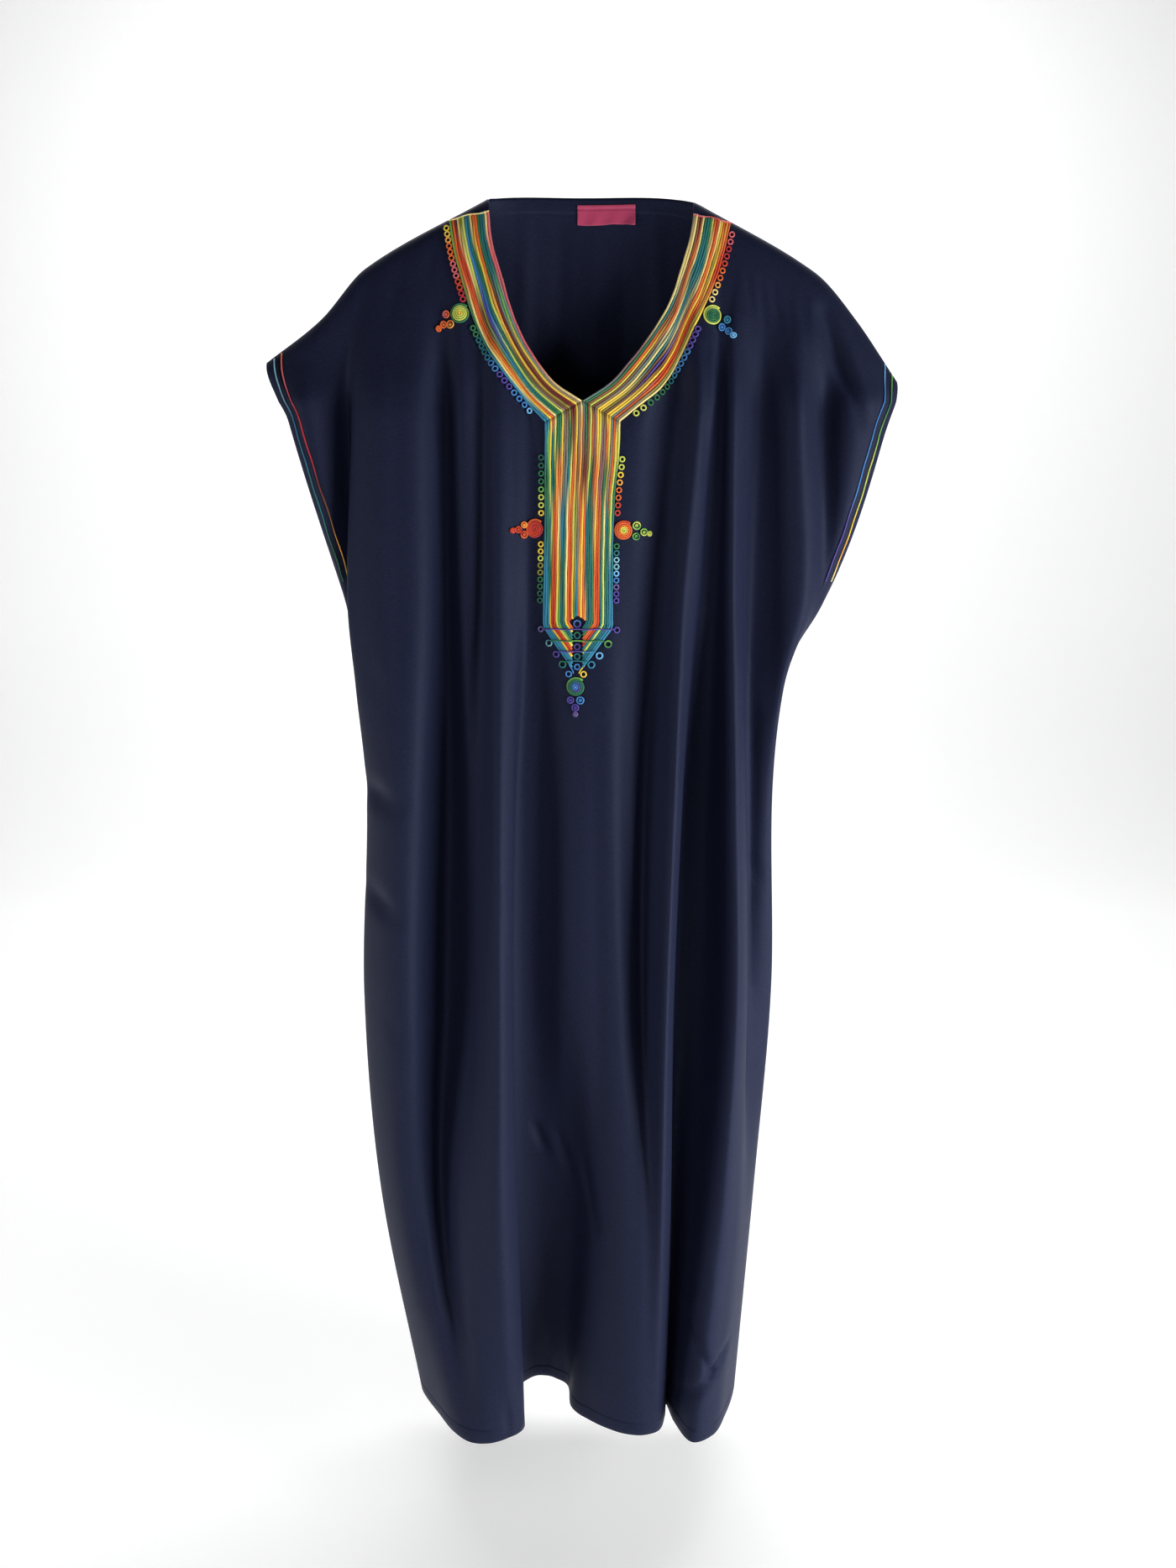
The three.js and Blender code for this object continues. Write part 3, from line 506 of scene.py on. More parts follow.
def bump(nodes, links, height, distance, strength, before=None):
    node = nodes.new("ShaderNodeBump")
    settings(node, {"Distance": distance, "Strength": strength})
    links.new(height, node.inputs["Height"])
    if before is not None:
        links.new(before, node.inputs["Normal"])
    return node.outputs["Normal"]


# the turned edges: where the stitching lies, how soft its step is and how thick the turning is
HEM = {"stitch": 0.014, "soft": 0.0014, "thick": 0.0011}
# noise scales of the crepe: its threads, their grain, and the slackness between the folds
THREADS, GRAIN, SLACK = 900, 1500, 26
THREADS_STRETCH, SLACK_STRETCH = (0.35, 0.35, 1.3), (1, 1, 0.35)


def crepe():
    nodes, links, shader, material = new_material("navy_crepe")
    surface = {
        "Roughness": 0.62,
        "Specular IOR Level": 0.2,
        "Specular Tint": (0.62, 0.72, 1.0, 1),
        "Sheen Weight": 0.02,
        "Sheen Roughness": 0.4,
        "Sheen Tint": (0.4, 0.47, 0.9, 1),
    }
    settings(shader, surface)
    ramp = nodes.new("ShaderNodeValToRGB")
    dark, light = ramp.color_ramp.elements
    dark.position, dark.color = 0.3, (0.0092, 0.0116, 0.0310, 1)
    light.position, light.color = 0.7, (0.0152, 0.0184, 0.0480, 1)
    threads = noise(nodes, links, THREADS, 2, stretched(nodes, links, THREADS_STRETCH))
    links.new(threads, ramp.inputs["Fac"])
    links.new(ramp.outputs["Color"], shader.inputs["Base Color"])
    grain = bump(nodes, links, noise(nodes, links, GRAIN, 2), 0.0002, 0.35)
    slack = noise(nodes, links, SLACK, 2, stretched(nodes, links, SLACK_STRETCH))
    loose = bump(nodes, links, slack, 0.0008, 0.35, grain)
    turned = nodes.new("ShaderNodeAttribute")
    turned.attribute_name = "turned"
    fold = nodes.new("ShaderNodeMapRange")
    fold.interpolation_type = "SMOOTHSTEP"
    settings(fold, {"From Min": HEM["stitch"] - HEM["soft"], "From Max": HEM["stitch"] + HEM["soft"]})
    settings(fold, {"To Min": 1.0, "To Max": 0.0})
    links.new(turned.outputs["Fac"], fold.inputs["Value"])
    links.new(bump(nodes, links, fold.outputs["Result"], HEM["thick"], 1.0, loose), shader.inputs["Normal"])
    return material


SPECKLE = 700  # noise scale of the lighter fibres in the cords
RIBBON_WEAVE = 1200  # and of the label's weave


def yarn(name, twist):
    """Silky cord whose colour is the tint attribute, ribbed at each twist along its length."""
    nodes, links, shader, material = new_material(name)
    settings(shader, {"Roughness": 0.5, "Specular IOR Level": 0.35, "Sheen Weight": 0.1})
    tint = nodes.new("ShaderNodeAttribute")
    tint.attribute_name = "tint"
    along = nodes.new("ShaderNodeAttribute")
    along.attribute_name = "along"
    turn = nodes.new("ShaderNodeMath")
    turn.operation = "MULTIPLY"
    turn.inputs[1].default_value = 2 * math.pi / twist
    links.new(along.outputs["Fac"], turn.inputs[0])
    wave = nodes.new("ShaderNodeMath")
    wave.operation = "SINE"
    links.new(turn.outputs[0], wave.inputs[0])
    speckle = nodes.new("ShaderNodeHueSaturation")
    links.new(tint.outputs["Color"], speckle.inputs["Color"])
    light = nodes.new("ShaderNodeMapRange")
    settings(light, {"To Min": 1.0, "To Max": 1.7})
    links.new(noise(nodes, links, SPECKLE, 1), light.inputs["Value"])
    links.new(light.outputs["Result"], speckle.inputs["Value"])
    links.new(speckle.outputs["Color"], shader.inputs["Base Color"])
    links.new(bump(nodes, links, wave.outputs[0], 0.00012, 0.6), shader.inputs["Normal"])
    return material


def ribbon():
    nodes, links, shader, material = new_material("label_cloth")
    crimson = (*colour("c8466e"), 1)
    settings(shader, {"Base Color": crimson, "Roughness": 0.45, "Sheen Weight": 0.2})
    weave = noise(nodes, links, RIBBON_WEAVE, 1, stretched(nodes, links, (1, 1, 4)))
    links.new(bump(nodes, links, weave, 0.0001, 0.4), shader.inputs["Normal"])
    return material


navy = crepe()
cord_yarn = yarn("couched_cord", 0.0011)
braid_yarn = yarn("sleeve_braid", 0.0016)


# ---- cloth ----
# Creases and dents of the hanging cloth, MM:
# from x, drop, to x, drop, half width, depth (below 0 it is raised).
CREASES = {
    "front": [
        (-238, 606, -206, 620, 16, 11.0), (-236, 722, -210, 742, 15, 10.0),
        (-190, 150, -196, 560, 10, 2.2), (-152, 220, -158, 700, 9, -2.0),
        (-118, 130, -124, 420, 7, 2.0), (-176, 640, -184, 1200, 12, 2.4),
        (-100, 500, -96, 980, 9, 1.8), (-30, 560, -36, 900, 10, 1.8),
        (14, 540, 20, 980, 10, 2.0), (46, 460, 48, 800, 8, 1.6),
        (84, 260, 80, 640, 8, 2.0), (126, 150, 132, 400, 7, 2.4),
        (146, 128, 150, 300, 6, -1.6), (170, 130, 176, 460, 8, 2.2),
        (204, 150, 206, 520, 8, 2.2), (232, 150, 236, 330, 8, 2.0),
        (150, 700, 150, 1150, 9, 1.8), (187, 520, 190, 840, 8, 4.0),
        (-222, 470, -206, 520, 9, 1.8), (-214, 860, -196, 900, 10, 1.6),
        (-58, 1004, -42, 1040, 6, 5.0), (-28, 1012, -12, 1066, 6, 4.6),
        (2, 1034, 16, 1116, 6, 6.0), (-84, 1210, -66, 1250, 9, 1.6),
        (118, 1214, 146, 1272, 6, 8.0), (140, 1282, 168, 1246, 5.5, 7.0),
        (112, 1312, 146, 1272, 5.5, 6.4), (168, 76, 176, 118, 4.5, 1.1),
        (182, 82, 188, 126, 4.5, 1.3), (196, 86, 204, 132, 5, 1.4),
        (210, 92, 218, 136, 4.5, 1.2), (226, 98, 232, 146, 5, 1.5),
        (242, 106, 250, 150, 5, 1.3), (249, 112, 288, 216, 9, 7.0),
        (262, 116, 300, 206, 7, -2.2), (-150, 40, -160, 92, 7, 1.2),
        (-186, 62, -196, 120, 8, 1.4), (-222, 84, -240, 168, 9, 1.8),
        (-262, 124, -276, 206, 9, 1.6), (-88, 1306, -84, 1351, 6, 2.4),
        (-66, 1312, -70, 1351, 6, -1.8), (-44, 1300, -40, 1351, 6, 2.2),
        (-18, 1308, -22, 1351, 6, 2.0), (10, 1312, 6, 1351, 7, 1.8),
        (186, 690, 202, 720, 9, 1.8), (188, 930, 204, 968, 10, 2.0),
        (-160, 1180, -140, 1236, 9, 2.0), (86, 560, 96, 640, 8, 1.2),
        (-92, 700, -84, 780, 8, 1.2),
    ],
    "back": [
        (-58, 14, -64, 180, 9, 1.6), (-22, 16, -26, 210, 10, -1.6),
        (12, 26, 16, 196, 9, 1.5), (44, 20, 40, 216, 10, -1.4),
        (76, 16, 84, 176, 9, 1.5), (-224, 590, -196, 622, 11, 3.4),
        (-222, 742, -198, 716, 10, 3.0), (180, 660, 196, 694, 10, 2.4),
        (170, 1010, 190, 1040, 10, 2.2), (-168, 90, -180, 150, 7, 1.4),
        (-210, 110, -226, 176, 8, 1.6), (176, 90, 188, 146, 6, 1.3),
        (206, 100, 216, 160, 6, 1.4), (238, 112, 262, 196, 8, 2.0),
        (-60, 1304, -56, 1351, 6, 2.0), (-20, 1310, -24, 1351, 6, -1.8),
        (34, 1302, 38, 1351, 6, 2.2), (80, 1308, 76, 1351, 6, 1.8),
        (-40, 980, -10, 1012, 9, 2.0), (46, 1090, 74, 1060, 9, 2.2),
    ],
}
SIDE_LIP = 0.4  # how far the cloth rises again beside a crease
CREASE_ENDS = 0.4  # share of its depth that a crease has at its ends


def creased(points, creases, facing):
    """Cloth points with soft creases pressed in."""
    x, drop = points[..., 0] / MM, -points[..., 2] / MM
    push = np.zeros_like(x)
    for from_x, from_drop, to_x, to_drop, width, depth in creases:
        run, fall = to_x - from_x, to_drop - from_drop
        along = clamp(((x - from_x) * run + (drop - from_drop) * fall) / (run**2 + fall**2))
        away = np.hypot(x - from_x - run * along, drop - from_drop - fall * along) / width
        profile = depth * (1 - SIDE_LIP * away**2) * np.exp(-(away**2))
        push += profile * mix(CREASE_ENDS, 1, np.sin(math.pi * along))
    points[..., 1] -= facing * push * MM
    return points


ROW_CROWDING = 1.15  # the rows are closer at the top
TIP_SLACK = 0.004  # a sleeve end begins this far above its tip


def cloth_grid(panel, per_fold, rows):
    """A panel's points, their drops, the places on the top edge and the distances below it."""
    c = np.linspace(0, 1, panel.last * per_fold + 1)
    share = np.linspace(0, 1, rows + 1) ** ROW_CROWDING
    top = panel.top_of(c)[:, None]
    drop = mix(top, LENGTH, share[None, :])
    return panel.at(c, drop), drop, panel.start_of(c), drop - top


def edge_distance(panel, points, drop, start, below):
    """How far each point is from the nearest turned edge: the hem, a sleeve end or the back neck."""
    near = LENGTH - drop
    for side, edge in ((-1, points[0]), (1, points[-1])):
        tip = SHOULDERS["left" if side < 0 else "right"]["drop"][3] * MM
        edge_x = np.interp(drop, -edge[:, 2], edge[:, 0])
        open_there = (drop > tip - TIP_SLACK) & (drop < ARM) & (side * start[:, None] > 0)
        near = np.where(open_there, np.minimum(near, np.abs(edge_x - points[..., 0])), near)
    if panel.facing > 0:
        near = np.where(np.abs(start[:, None]) < 1, np.minimum(near, below), near)
    return near


CLOTH_THICK = 0.0012
# name, panel, columns for each fold, rows
CLOTHS = (("front", front_panel, 8, 212), ("back", back_panel, 12, 190))
for name, panel, per_fold, rows in CLOTHS:
    points, drop, start, below = cloth_grid(panel, per_fold, rows)
    turned = edge_distance(panel, points, drop, start, below)
    points = creased(points, CREASES[name], panel.facing)
    shell = grid_mesh(name + "_cloth", points, panel.facing)
    edge = shell.data.attributes.new("turned", "FLOAT", "POINT")
    edge.data.foreach_set("value", turned.astype(np.float32).ravel())
    thick = shell.modifiers.new("thickness", "SOLIDIFY")
    thick.thickness = CLOTH_THICK
    thick.offset = 0
    shell.data.materials.append(navy)
    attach(shell, "root")
    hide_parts(name)

# ---- couched cords of the collar and the placket ----
CORD = {
    "count": 16,
    "radius": 0.00122,
    "lift": 0.0016,
    "uneven": 0.00025,  # in lift, from cord to cord
    "gap": 0.0055,  # between the two sides, at the point
    "mitre": 0.008,  # in which a cord turns from the collar into the placket
    "collar_steps": 70,
    "placket_steps": 56,
}
# A cord laid by hand wavers: size, rate along it, and shift from cord to cord.
COUCHED_WAVER = ((0.00016, 21, 2.3), (0.0001, 53, 5.1))
BRAID_WAVER = ((0.0004, 30, 0), (0.0003, 71, 0))
# Colours at the shoulder, a quarter, half and three quarters down the collar, at the mitre,
# then down the placket at drops 244, 286, 330, 380 and 425, and at the end. Outermost cord first.
CORD_STATIONS = [0, 0.25, 0.5, 0.75, 1, 1.1, 1.3, 1.5, 1.75, 1.97, 2.2]
LEFT_CORDS = """
    gLGtttGTttt OOWWtgGGttt rROoYYyTTtt WROOOTTyGYY
    LWBLWyGOORR yyLtGGoORRO tUPTGGOWYyY TTUyyYoSLgg
    WGTGbbbtTTT OYyBBbSTGTT OOoYLGTWWYY GGrrrByOOOO
    TTSBrBOORRR TTgYYYoyYYY WCSSbbBLLGG CCCCWoobttt
""".split()
RIGHT_CORDS = """
    ORYWWyGTTtt oRLLbYyyttt OYROOOOGTTT YLORSSbTGTT
    WoYYYYLWyyy ROOBYOGGTTT OWbPBbMOORR yTWBLMMOROO
    GTSTYyoYOOO TTTWYYObGGG GTWSbMBGTTT WWObBOGTGTT
    rOBYyyyTToo BBBOBBBOOOO WWTGGGrYYYo bWWMSMBOoOO
""".split()


def waver(waves, along, cord=0):
    """The small waves of a cord, or of one among several."""
    return sum(size * np.sin(along * rate + cord * shift) for size, rate, shift in waves)


def band_edges(side, t):
    """x and drop of a collar band's inner edge and of its outer one, from the shoulder down."""
    key = "left" if side < 0 else "right"
    neck, edge = NECK_EDGE[key], BAND_EDGE[key]
    inner_drop = mix(neck["drop"][0] * MM + BAND["inner_top"], NECK_DEPTH, t)
    outer_top = shoulder_drop(side * edge["across"][0] * MM) + BAND["clear"]
    outer_drop = mix(outer_top, BAND["end_drop"], t)
    inner_x = side * by_table(neck, "drop", "across", inner_drop)
    return inner_x, inner_drop, side * by_table(edge, "drop", "across", outer_drop), outer_drop


def placket_side(side, drop):
    """The middle line and one side of the placket."""
    left = by_table(PLACKET_SIDES, "drop", "left", drop)
    right = by_table(PLACKET_SIDES, "drop", "right", drop)
    return (left + right) / 2, left if side < 0 else right


# The placket's point: the drops where its outer and inner cords bend in, their slope, and the
# innermost cords, which stop square, each a step further down.
POINT = {
    "bend": 0.432,
    "inner_bend": 0.424,
    "slope": 0.72,
    "square_cords": 4,
    "square_above": 0.004,
    "square_step": 0.0015,
    "shortest": 0.002,
}


def placket_path(side, share, drop):
    """x of a cord down the placket."""
    middle, edge = placket_side(side, drop)
    bend = mix(POINT["inner_bend"], POINT["bend"], share)
    x = mix(middle, edge, share)
    return x - side * POINT["slope"] * np.maximum(0, drop - bend)


def placket_end(side, k, share):
    """Where a cord stops: square for the inner ones, else at the gap along the middle."""
    if k < POINT["square_cords"]:
        return POINT["inner_bend"] - POINT["square_above"] + POINT["square_step"] * k
    middle, edge = placket_side(side, np.array([POINT["bend"]]))
    width = abs(float((edge - middle)[0])) * share
    bend = mix(POINT["inner_bend"], POINT["bend"], share)
    return bend + max(POINT["shortest"], (width - CORD["gap"]) / POINT["slope"])


collar_cords = {-1: Cords(), 1: Cords()}
placket_cords = Cords()
for side, chart in ((-1, LEFT_CORDS), (1, RIGHT_CORDS)):
    for row, letters in enumerate(chart):
        k = CORD["count"] - 1 - row
        share = (k + 0.5) / CORD["count"]
        t = np.linspace(0, 1, CORD["collar_steps"] + 1)
        inner_x, inner_drop, outer_x, outer_drop = band_edges(side, t)
        x, drop = mix(inner_x, outer_x, share), mix(inner_drop, outer_drop, share)
        end = placket_end(side, k, share)
        down = np.linspace(drop[-1], end, CORD["placket_steps"] + 1)[1:]
        station = np.concatenate([t, 1 + (down - drop[-1]) / (POINT["bend"] - drop[-1])])
        turn = ease((down - drop[-1]) / CORD["mitre"])
        x = np.concatenate([x, mix(x[-1], placket_path(side, share, down), turn)])
        drop = np.concatenate([drop, down])
        lift = CORD["lift"] + CORD["uneven"] * math.sin(k * 7.7)
        path, normal = chest_skin.put(x + waver(COUCHED_WAVER, station, k), drop, lift)
        tint = shades(letters, station, CORD_STATIONS)
        length = length_along(path)
        rings = placket_cords.rings(path, normal, CORD["radius"])
        cut = CORD["collar_steps"] + 1
        collar_cords[side].sweep(rings[:cut], tint[:cut], length[:cut])
        placket_cords.sweep(rings[cut - 1 :], tint[cut - 1 :], length[cut - 1 :])

# ---- rings and medallions ----
RING = {"radius": 0.0024, "cord": 0.00082, "lift": 0.0020, "steps": 16, "from_edge": 0.0011}


def ring(cords, x, drop, radius, letters, lean=0.0, lift=RING["lift"]):
    """A closed ring of thin cord on the cloth."""
    steps = RING["steps"]
    angle = np.linspace(0, 2 * math.pi, steps, endpoint=False) + lean
    path, normal = chest_skin.put(x + radius * np.cos(angle), drop + radius * np.sin(angle), lift)
    cords.add(path, normal, RING["cord"], shades(letters, np.linspace(0, 1, steps)), True)


# edge it follows, side, from and to (drop), how many, colours
RING_CHAINS = [
    ("collar", -1, 0.030, 0.100, 13, "YoOOCCRcc"),
    ("collar", -1, 0.128, 0.209, 15, "GTTtUPPUUu"),
    ("collar", 1, 0.036, 0.100, 10, "CccROOoWW"),
    ("collar", 1, 0.130, 0.212, 16, "PPPUUUtTGGGyy"),
    ("placket", -1, 0.258, 0.314, 8, "DGGgyyY"),
    ("placket", -1, 0.346, 0.404, 9, "YyLLGGDD"),
    ("placket", 1, 0.260, 0.314, 8, "yYoOORR"),
    ("placket", 1, 0.348, 0.404, 9, "GTssuUpPP"),
]


def edge_at(kind, side, drop):
    if kind == "placket":
        return placket_side(side, drop)[1]
    return side * by_table(BAND_EDGE["left" if side < 0 else "right"], "drop", "across", drop)


for kind, side, first, last, count, letters in RING_CHAINS:
    holder = placket_cords if kind == "placket" else collar_cords[side]
    drops = np.linspace(first, last, count)
    edge = edge_at(kind, side, drops)
    nearby = 0.002
    slope = (edge_at(kind, side, drops + nearby) - edge_at(kind, side, drops - nearby)) / (2 * nearby)
    reach = (RING["radius"] + RING["from_edge"]) / np.sqrt(1 + slope**2)
    tints = [letters[min(len(letters) - 1, int(i * len(letters) / count))] for i in range(count)]
    for i in range(count):
        out_x = edge[i] + side * reach[i]
        out_drop = drops[i] - side * reach[i] * slope[i]
        ring(holder, out_x, out_drop, RING["radius"], tints[i], lean=i * 1.9)

# x, drop, radius, colours from the centre out
MEDALLIONS = {
    "medallion_collar_left": (-0.1245, 0.115, "YYyyyyGG"),
    "medallion_collar_right": (0.133, 0.117, "TGGGGyy"),
    "medallion_placket_left": (-0.0494, 0.330, "rRcRRcO"),
    "medallion_placket_right": (0.0428, 0.332, "gyYOOOR"),
    "medallion_point": (-0.0065, 0.494, "uUUPTGGg"),
}
# x, drop and radius of the small rings beside each, MM, then their colours
CLUSTERS = {
    "medallion_collar_left": (
        (-139, 115, 3.1, "CO"), (-134.5, 125, 3.4, "oO"),
        (-142, 125, 3.0, "O"), (-147.5, 129, 2.4, "O"),
    ),
    "medallion_collar_right": (
        (148.5, 121, 3.2, "t"), (142.5, 128.5, 3.2, "U"),
        (150, 132.5, 3.0, "U"), (154.5, 137, 2.3, "u"),
    ),
    "medallion_placket_left": (
        (-61.5, 326, 2.7, "oO"), (-61.5, 336, 3.2, "RO"),
        (-67.5, 331, 2.8, "R"), (-73, 332, 2.1, "R"),
    ),
    "medallion_placket_right": (
        (56, 327, 3.5, "gy"), (55.5, 338, 3.2, "Gg"),
        (63.5, 333.5, 3.2, "yg"), (69.5, 335, 2.1, "y"),
    ),
    "medallion_point": (
        (-12, 508, 3.0, "P"), (-1.8, 508, 3.5, "U"),
        (-7, 516, 3.2, "P"), (-6.8, 523, 2.0, "p"),
    ),
}
CLUSTER = {"extra": 0.1, "inner": 0.3}  # MM that the rings are larger, and their inner rings' share
DISC = {
    "radius": 0.0107,
    "cord": 0.00095,
    "pitch": 0.0020,
    "steps_a_turn": 22,
    "start": 0.02,
    "lift": 0.0014,
    "dome": 0.0006,
}
for name, (x, drop, letters) in MEDALLIONS.items():
    disc = Cords()
    turns = (DISC["radius"] - DISC["cord"]) / DISC["pitch"]
    steps = int(turns * DISC["steps_a_turn"])
    share = np.linspace(DISC["start"], 1, steps)
    angle = 2 * math.pi * turns * share
    radius = (DISC["radius"] - DISC["cord"]) * share
    lift = DISC["lift"] + DISC["dome"] * (1 - share**2)
    path, normal = chest_skin.put(x + radius * np.cos(angle), drop + radius * np.sin(angle), lift)
    disc.add(path, normal, DISC["cord"], shades(letters, share))
    for spot_x, spot_drop, size, tints in CLUSTERS[name]:
        ring(disc, spot_x * MM, spot_drop * MM, (size + CLUSTER["extra"]) * MM, tints, lean=spot_drop)
        ring(disc, spot_x * MM, spot_drop * MM, size * CLUSTER["inner"] * MM, tints)
    disc.make(name, cord_yarn, "couched_cord")

# ---- the point of the placket ----
# MM: drop, x of both ends and colours of each cross bar; then its end loops: drop, radius, colour
CROSS_BARS = [
    (434, -40.5, 32.5, "PPPPP", (434, 3.0, "p"), (434.5, 3.2, "P")),
    (446, -31, 23, "GGgGG", (448.5, 3.6, "sT"), (449, 3.8, "Gg")),
    (457, -23.5, 14.5, "PPPUt", (460, 3.4, "P"), (461, 3.6, "u")),
    (467, -16.5, 6, "TTTTT", (470.5, 3.8, "TG"), (470.5, 3.8, "t")),
]
BAR = {"cord": 0.0007, "lift": 0.0036, "steps": 24, "waver": ((0.0004, 300, 0),)}
# MM: drop, radius and colours of the loops down the middle of the point, and how far left they lie
MIDDLE_LOOPS = ((428, 4.0, "PU"), (440, 3.7, "TG"), (452, 3.4, "P"), (462, 3.4, "T"), (473, 3.3, "U"))
MIDDLE = {"x": -0.0052, "lift": 0.0014}
LOOP_INSET = {"end": 0.5, "middle": 0.6}  # MM, from a loop's radius to its cord's middle
# MM: x of both ends of a tail of cord below the point, x of its loop, colours
TAILS = ((-13.8, -9, -13.9, "U"), (3.8, -3, 1.6, "Y"))
TAIL = {"from": 468, "to": 480, "steps": 12, "lift": 0.002, "loop_drop": 0.4805, "loop": 0.0028}
for drop, left, right, letters, left_loop, right_loop in CROSS_BARS:
    x = np.linspace(left, right, BAR["steps"]) * MM
    path, normal = chest_skin.put(x, drop * MM + waver(BAR["waver"], x), BAR["lift"])
    tint = shades(letters, np.linspace(0, 1, BAR["steps"]))
    placket_cords.add(path, normal, BAR["cord"], tint)
    for (loop_drop, size, tints), end, side in ((left_loop, left, -1), (right_loop, right, 1)):
        reach = (size - LOOP_INSET["end"]) * MM
        ring(placket_cords, (end + side * size) * MM, loop_drop * MM, reach, tints)
for drop, size, letters in MIDDLE_LOOPS:
    reach = (size - LOOP_INSET["middle"]) * MM
    ring(placket_cords, MIDDLE["x"], drop * MM, reach, letters, lift=MIDDLE["lift"])
for start_x, end_x, loop_x, letters in TAILS:
    share = np.linspace(0, 1, TAIL["steps"])
    x = mix(start_x, end_x, ease(share)) * MM
    path, normal = chest_skin.put(x, mix(TAIL["from"], TAIL["to"], share) * MM, TAIL["lift"])
    placket_cords.add(path, normal, BAR["cord"], shades(letters, share))
    ring(placket_cords, loop_x * MM, TAIL["loop_drop"], TAIL["loop"], letters)

# a thin cord finishes the top of each collar band
FINISH = {"below": 0.0006, "waver": ((0.0008, 9, 0),), "lift": 0.0028, "cord": 0.0006, "steps": 30}
for side, letters in ((-1, "W"), (1, "CCcCC")):
    share = np.linspace(0, 1, FINISH["steps"])
    inner_x, inner_drop, outer_x, outer_drop = [float(v[0]) for v in band_edges(side, np.zeros(1))]
    x, drop = mix(inner_x, outer_x, share), mix(inner_drop, outer_drop, share) + FINISH["below"]
    path, normal = chest_skin.put(x, drop + waver(FINISH["waver"], share), FINISH["lift"])
    collar_cords[side].add(path, normal, FINISH["cord"], shades(letters, share))

collar_cords[-1].make("collar_left", cord_yarn, "couched_cord")
collar_cords[1].make("collar_right", cord_yarn, "couched_cord")
placket_cords.make("placket", cord_yarn, "couched_cord")

# ---- sleeve braids ----
BRAID = {"radius": 0.00075, "lift": 0.0012, "steps": 70, "below_seam": 0.003, "end_drop": 0.385}
# how a place beside a sleeve's edge is found: the share of the panel searched, its steps,
# the points the result is smoothed over, and the step for the cloth's slope
SEARCH = {"share": 0.2, "steps": 160, "smoothed": 9, "slope": 0.002}
# side, inset from the sleeve edge at the top and at the bottom (MM), colours from the top down
SLEEVE_CORDS = {
    -1: ((17, 13, "OCccrBoL"), (9, 7, "ssttTTGD")),
    1: ((15, 13, "uUUUUPPP"), (7, 6, "gGgyyYoW")),
}


def beside_edge(panel, side, inset, drop, lift):
    """Points a set distance in from a sleeve's edge, and the cloth's normals there."""
    first, last = (0, SEARCH["share"]) if side < 0 else (1, 1 - SEARCH["share"])
    c = np.linspace(first, last, SEARCH["steps"])
    lines = panel.at(c, np.tile(drop, (len(c), 1)))
    edge = lines[0, :, 0]
    away = np.maximum.accumulate(side * (edge[None] - lines[..., 0]), 0)
    place = np.array([np.interp(inset[i], away[:, i], c) for i in range(len(drop))])
    window = np.hanning(SEARCH["smoothed"] + 2)[1:-1]
    ends = np.pad(place, SEARCH["smoothed"] // 2, mode="reflect", reflect_type="odd")
    place = np.convolve(ends, window / window.sum(), "valid")

    def on_panel(step_aside=0.0, step_down=0.0):
        row = np.arange(len(drop))
        return panel.at(place + step_aside, np.tile(drop + step_down, (len(drop), 1)))[row, row]

    points = on_panel()
    aside = on_panel(step_aside=SEARCH["slope"]) - points
    down = on_panel(step_down=SEARCH["slope"]) - points
    normal = np.cross(down, aside)
    normal /= np.linalg.norm(normal, axis=1, keepdims=True)
    normal *= np.sign(normal[:, 1:2]) * panel.facing
    return points + normal * lift, normal


for where, panel in (("front", front_panel), ("back", back_panel)):
    for side, cord_rows in SLEEVE_CORDS.items():
        cords = Cords()
        for inset_top, inset_end, letters in cord_rows:
            share = np.linspace(0, 1, BRAID["steps"])
            inset = mix(inset_top, inset_end, share) * MM
            edge_x = side * HALF_SPAN - side * inset
            first = shoulder_drop(edge_x[:1])[0] + BRAID["below_seam"]
            drop = mix(first, BRAID["end_drop"], share)
            inset = inset + waver(BRAID_WAVER, share)
            path, normal = beside_edge(panel, side, inset, drop, BRAID["lift"])
            cords.add(path, normal, BRAID["radius"], shades(letters, share))
        node = "braid_" + where + ("_left" if side < 0 else "_right")
        cords.make(node, braid_yarn, "sleeve_braid")

# ---- label ----
LABEL = {"left": -0.005, "right": 0.055, "top": 0.001, "bottom": 0.020, "off": 0.0017, "thick": 0.0004}
LABEL_GRID = (49, 19)
u, v = np.meshgrid(*[np.linspace(0, 1, count) for count in LABEL_GRID], indexing="ij")
label_x = mix(LABEL["left"], LABEL["right"], u)
# its lower edge waves and sags at the right, the ribbon folds over near its top, and its lower
# right corner curls off the cloth
wave, sag = 0.0006 * np.sin(u * 7) * v, 0.0007 * ease((u - 0.8) / 0.2) * v
label_drop = mix(LABEL["top"], LABEL["bottom"], v) + wave + sag
fold_line = 0.0009 * np.exp(-(((v - 0.2) / 0.04) ** 2))
corner = np.maximum(0, (u - 0.78) / 0.22 + (v - 0.35) / 0.65 - 0.9)
pucker = 0.0005 * np.sin(u * 19 + v * 3) * v + corner * (0.0028 + 0.0012 * np.sin((u - v) * 46))
label_points, _ = nape_skin.put(label_x, label_drop, 0 * label_x)
label_points[..., 1] -= LABEL["off"] + pucker - fold_line
label = grid_mesh("neck_label_ribbon", label_points, -1)
label_thick = label.modifiers.new("thickness", "SOLIDIFY")
label_thick.thickness = LABEL["thick"]
label.data.materials.append(ribbon())
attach(label, "root")
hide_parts("neck_label")

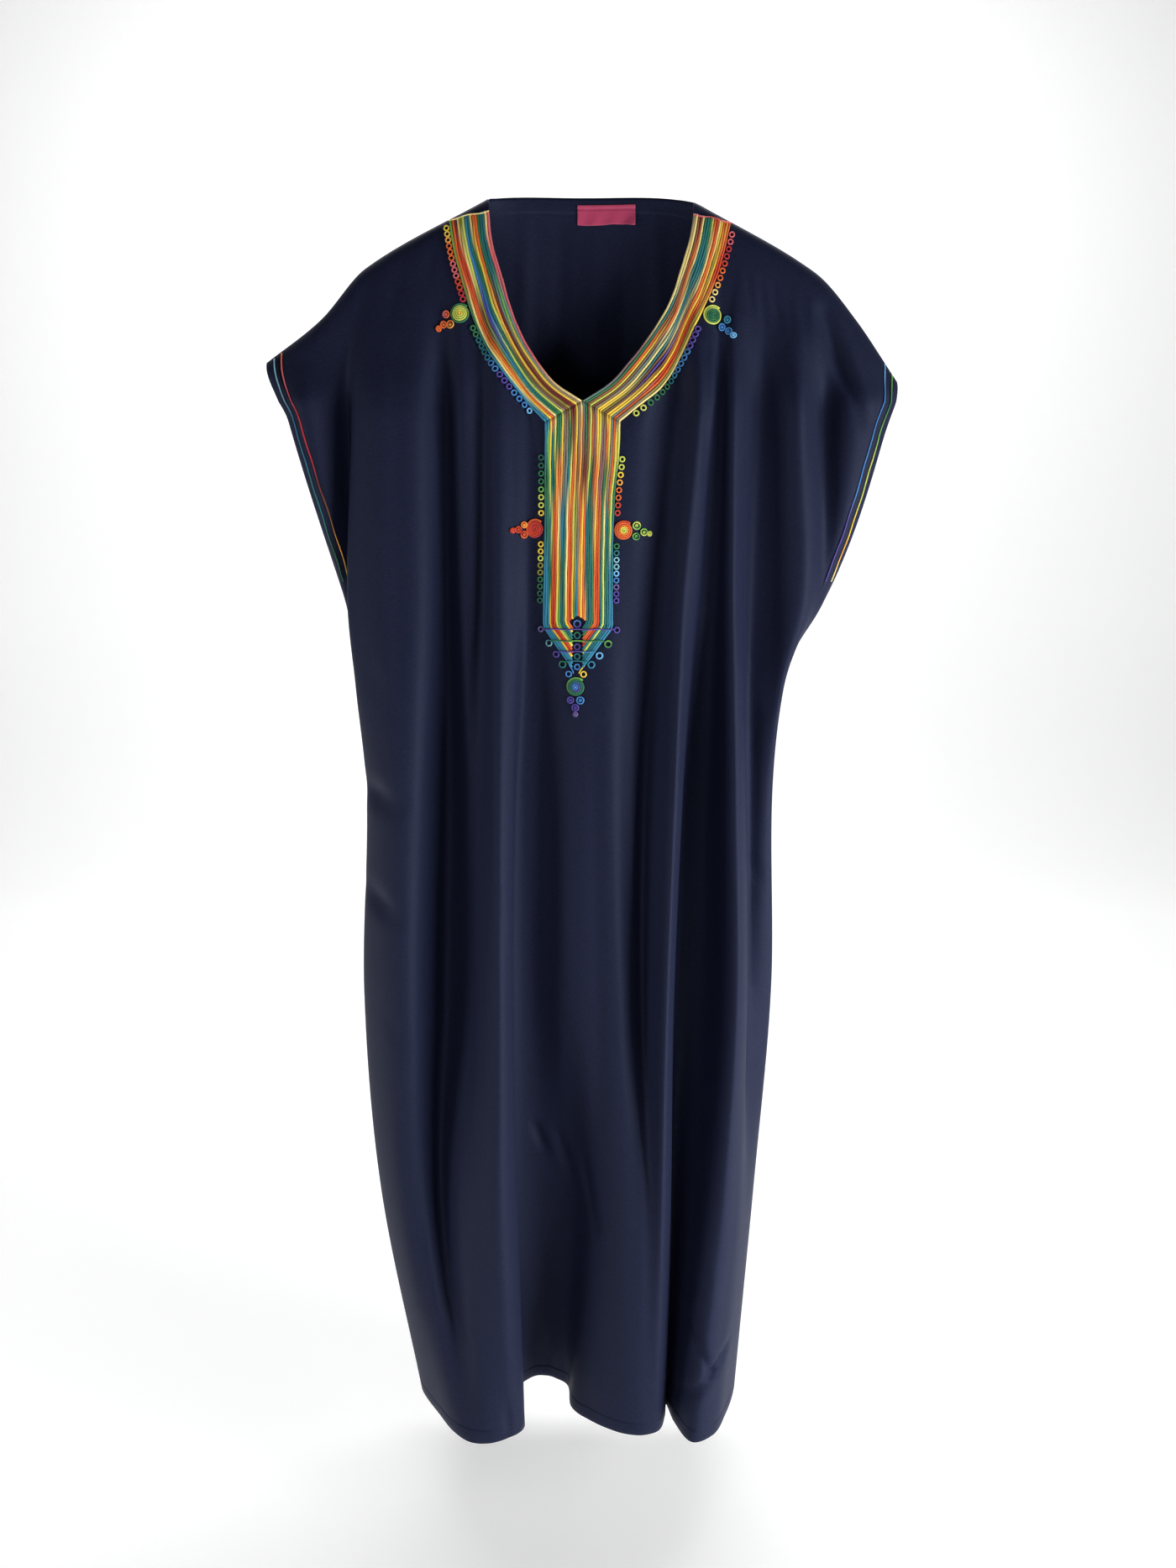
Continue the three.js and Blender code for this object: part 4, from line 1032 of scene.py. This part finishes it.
# ---- setting ----
camera_data = bpy.data.cameras.new("camera")
camera_data.sensor_width = 36
camera_data.lens = 27.05
camera = link(bpy.data.objects.new("camera", camera_data))
camera.location = (0.006, -1.295, -0.357)
camera.rotation_euler = (math.radians(79), 0, 0)
bpy.context.scene.camera = camera


def area_light(name, place, aim, size, power, spread=180):
    """A rectangular light of so many watts, its spread in degrees."""
    data = bpy.data.lights.new(name, "AREA")
    data.shape = "RECTANGLE"
    data.size, data.size_y = size
    data.energy = power
    data.spread = math.radians(spread)
    light = link(bpy.data.objects.new(name, data))
    light.location = place
    light.rotation_euler = (Vector(aim) - Vector(place)).to_track_quat("-Z", "Y").to_euler()


area_light("left", (-2.0, -0.8, -0.5), (0, 0, -0.8), (0.6, 1.2), 11)
area_light("front", (-1.0, -2.0, -1.2), (0, 0, -0.8), (0.6, 1.2), 6)
area_light("right", (1.7, -0.7, -0.6), (0, 0, -0.8), (0.6, 1.2), 21)
area_light("low", (1.5, -1.2, -1.0), (0.15, 0, -1.05), (0.5, 0.9), 6, 90)
area_light("backdrop", (0, 1.2, 1.9), (0, 2.2, -0.9), (3.6, 0.8), 84)

world = bpy.data.worlds.new("studio")
world.use_nodes = True
settings(world.node_tree.nodes["Background"], {"Color": (0.9, 0.92, 1.0, 1), "Strength": 0.02})
bpy.context.scene.world = world
bpy.context.scene.view_settings.view_transform = "Standard"


def sweep_stage():
    """A pale floor that curves up into a backdrop."""
    front, floor, wall, top, bend, half_width, steps = -3.5, -1.47, 3.2, 2.5, 0.9, 5.0, 12
    profile = [(front, floor), (wall - bend, floor)]
    for k in range(1, steps + 1):
        angle = math.pi / 2 * k / steps
        profile.append((wall - bend + bend * math.sin(angle), floor + bend * (1 - math.cos(angle))))
    profile.append((wall, top))
    points = np.array([[(x, y, z) for y, z in profile] for x in (-half_width, half_width)])
    return grid_mesh("backdrop", points, -1)


backdrop = sweep_stage()
_, _, paper_shader, paper = new_material("backdrop")
settings(paper_shader, {"Base Color": (0.85, 0.85, 0.85, 1), "Roughness": 0.9})
settings(paper_shader, {"Emission Color": (1, 1, 1, 1), "Emission Strength": 0.3})
backdrop.data.materials.append(paper)
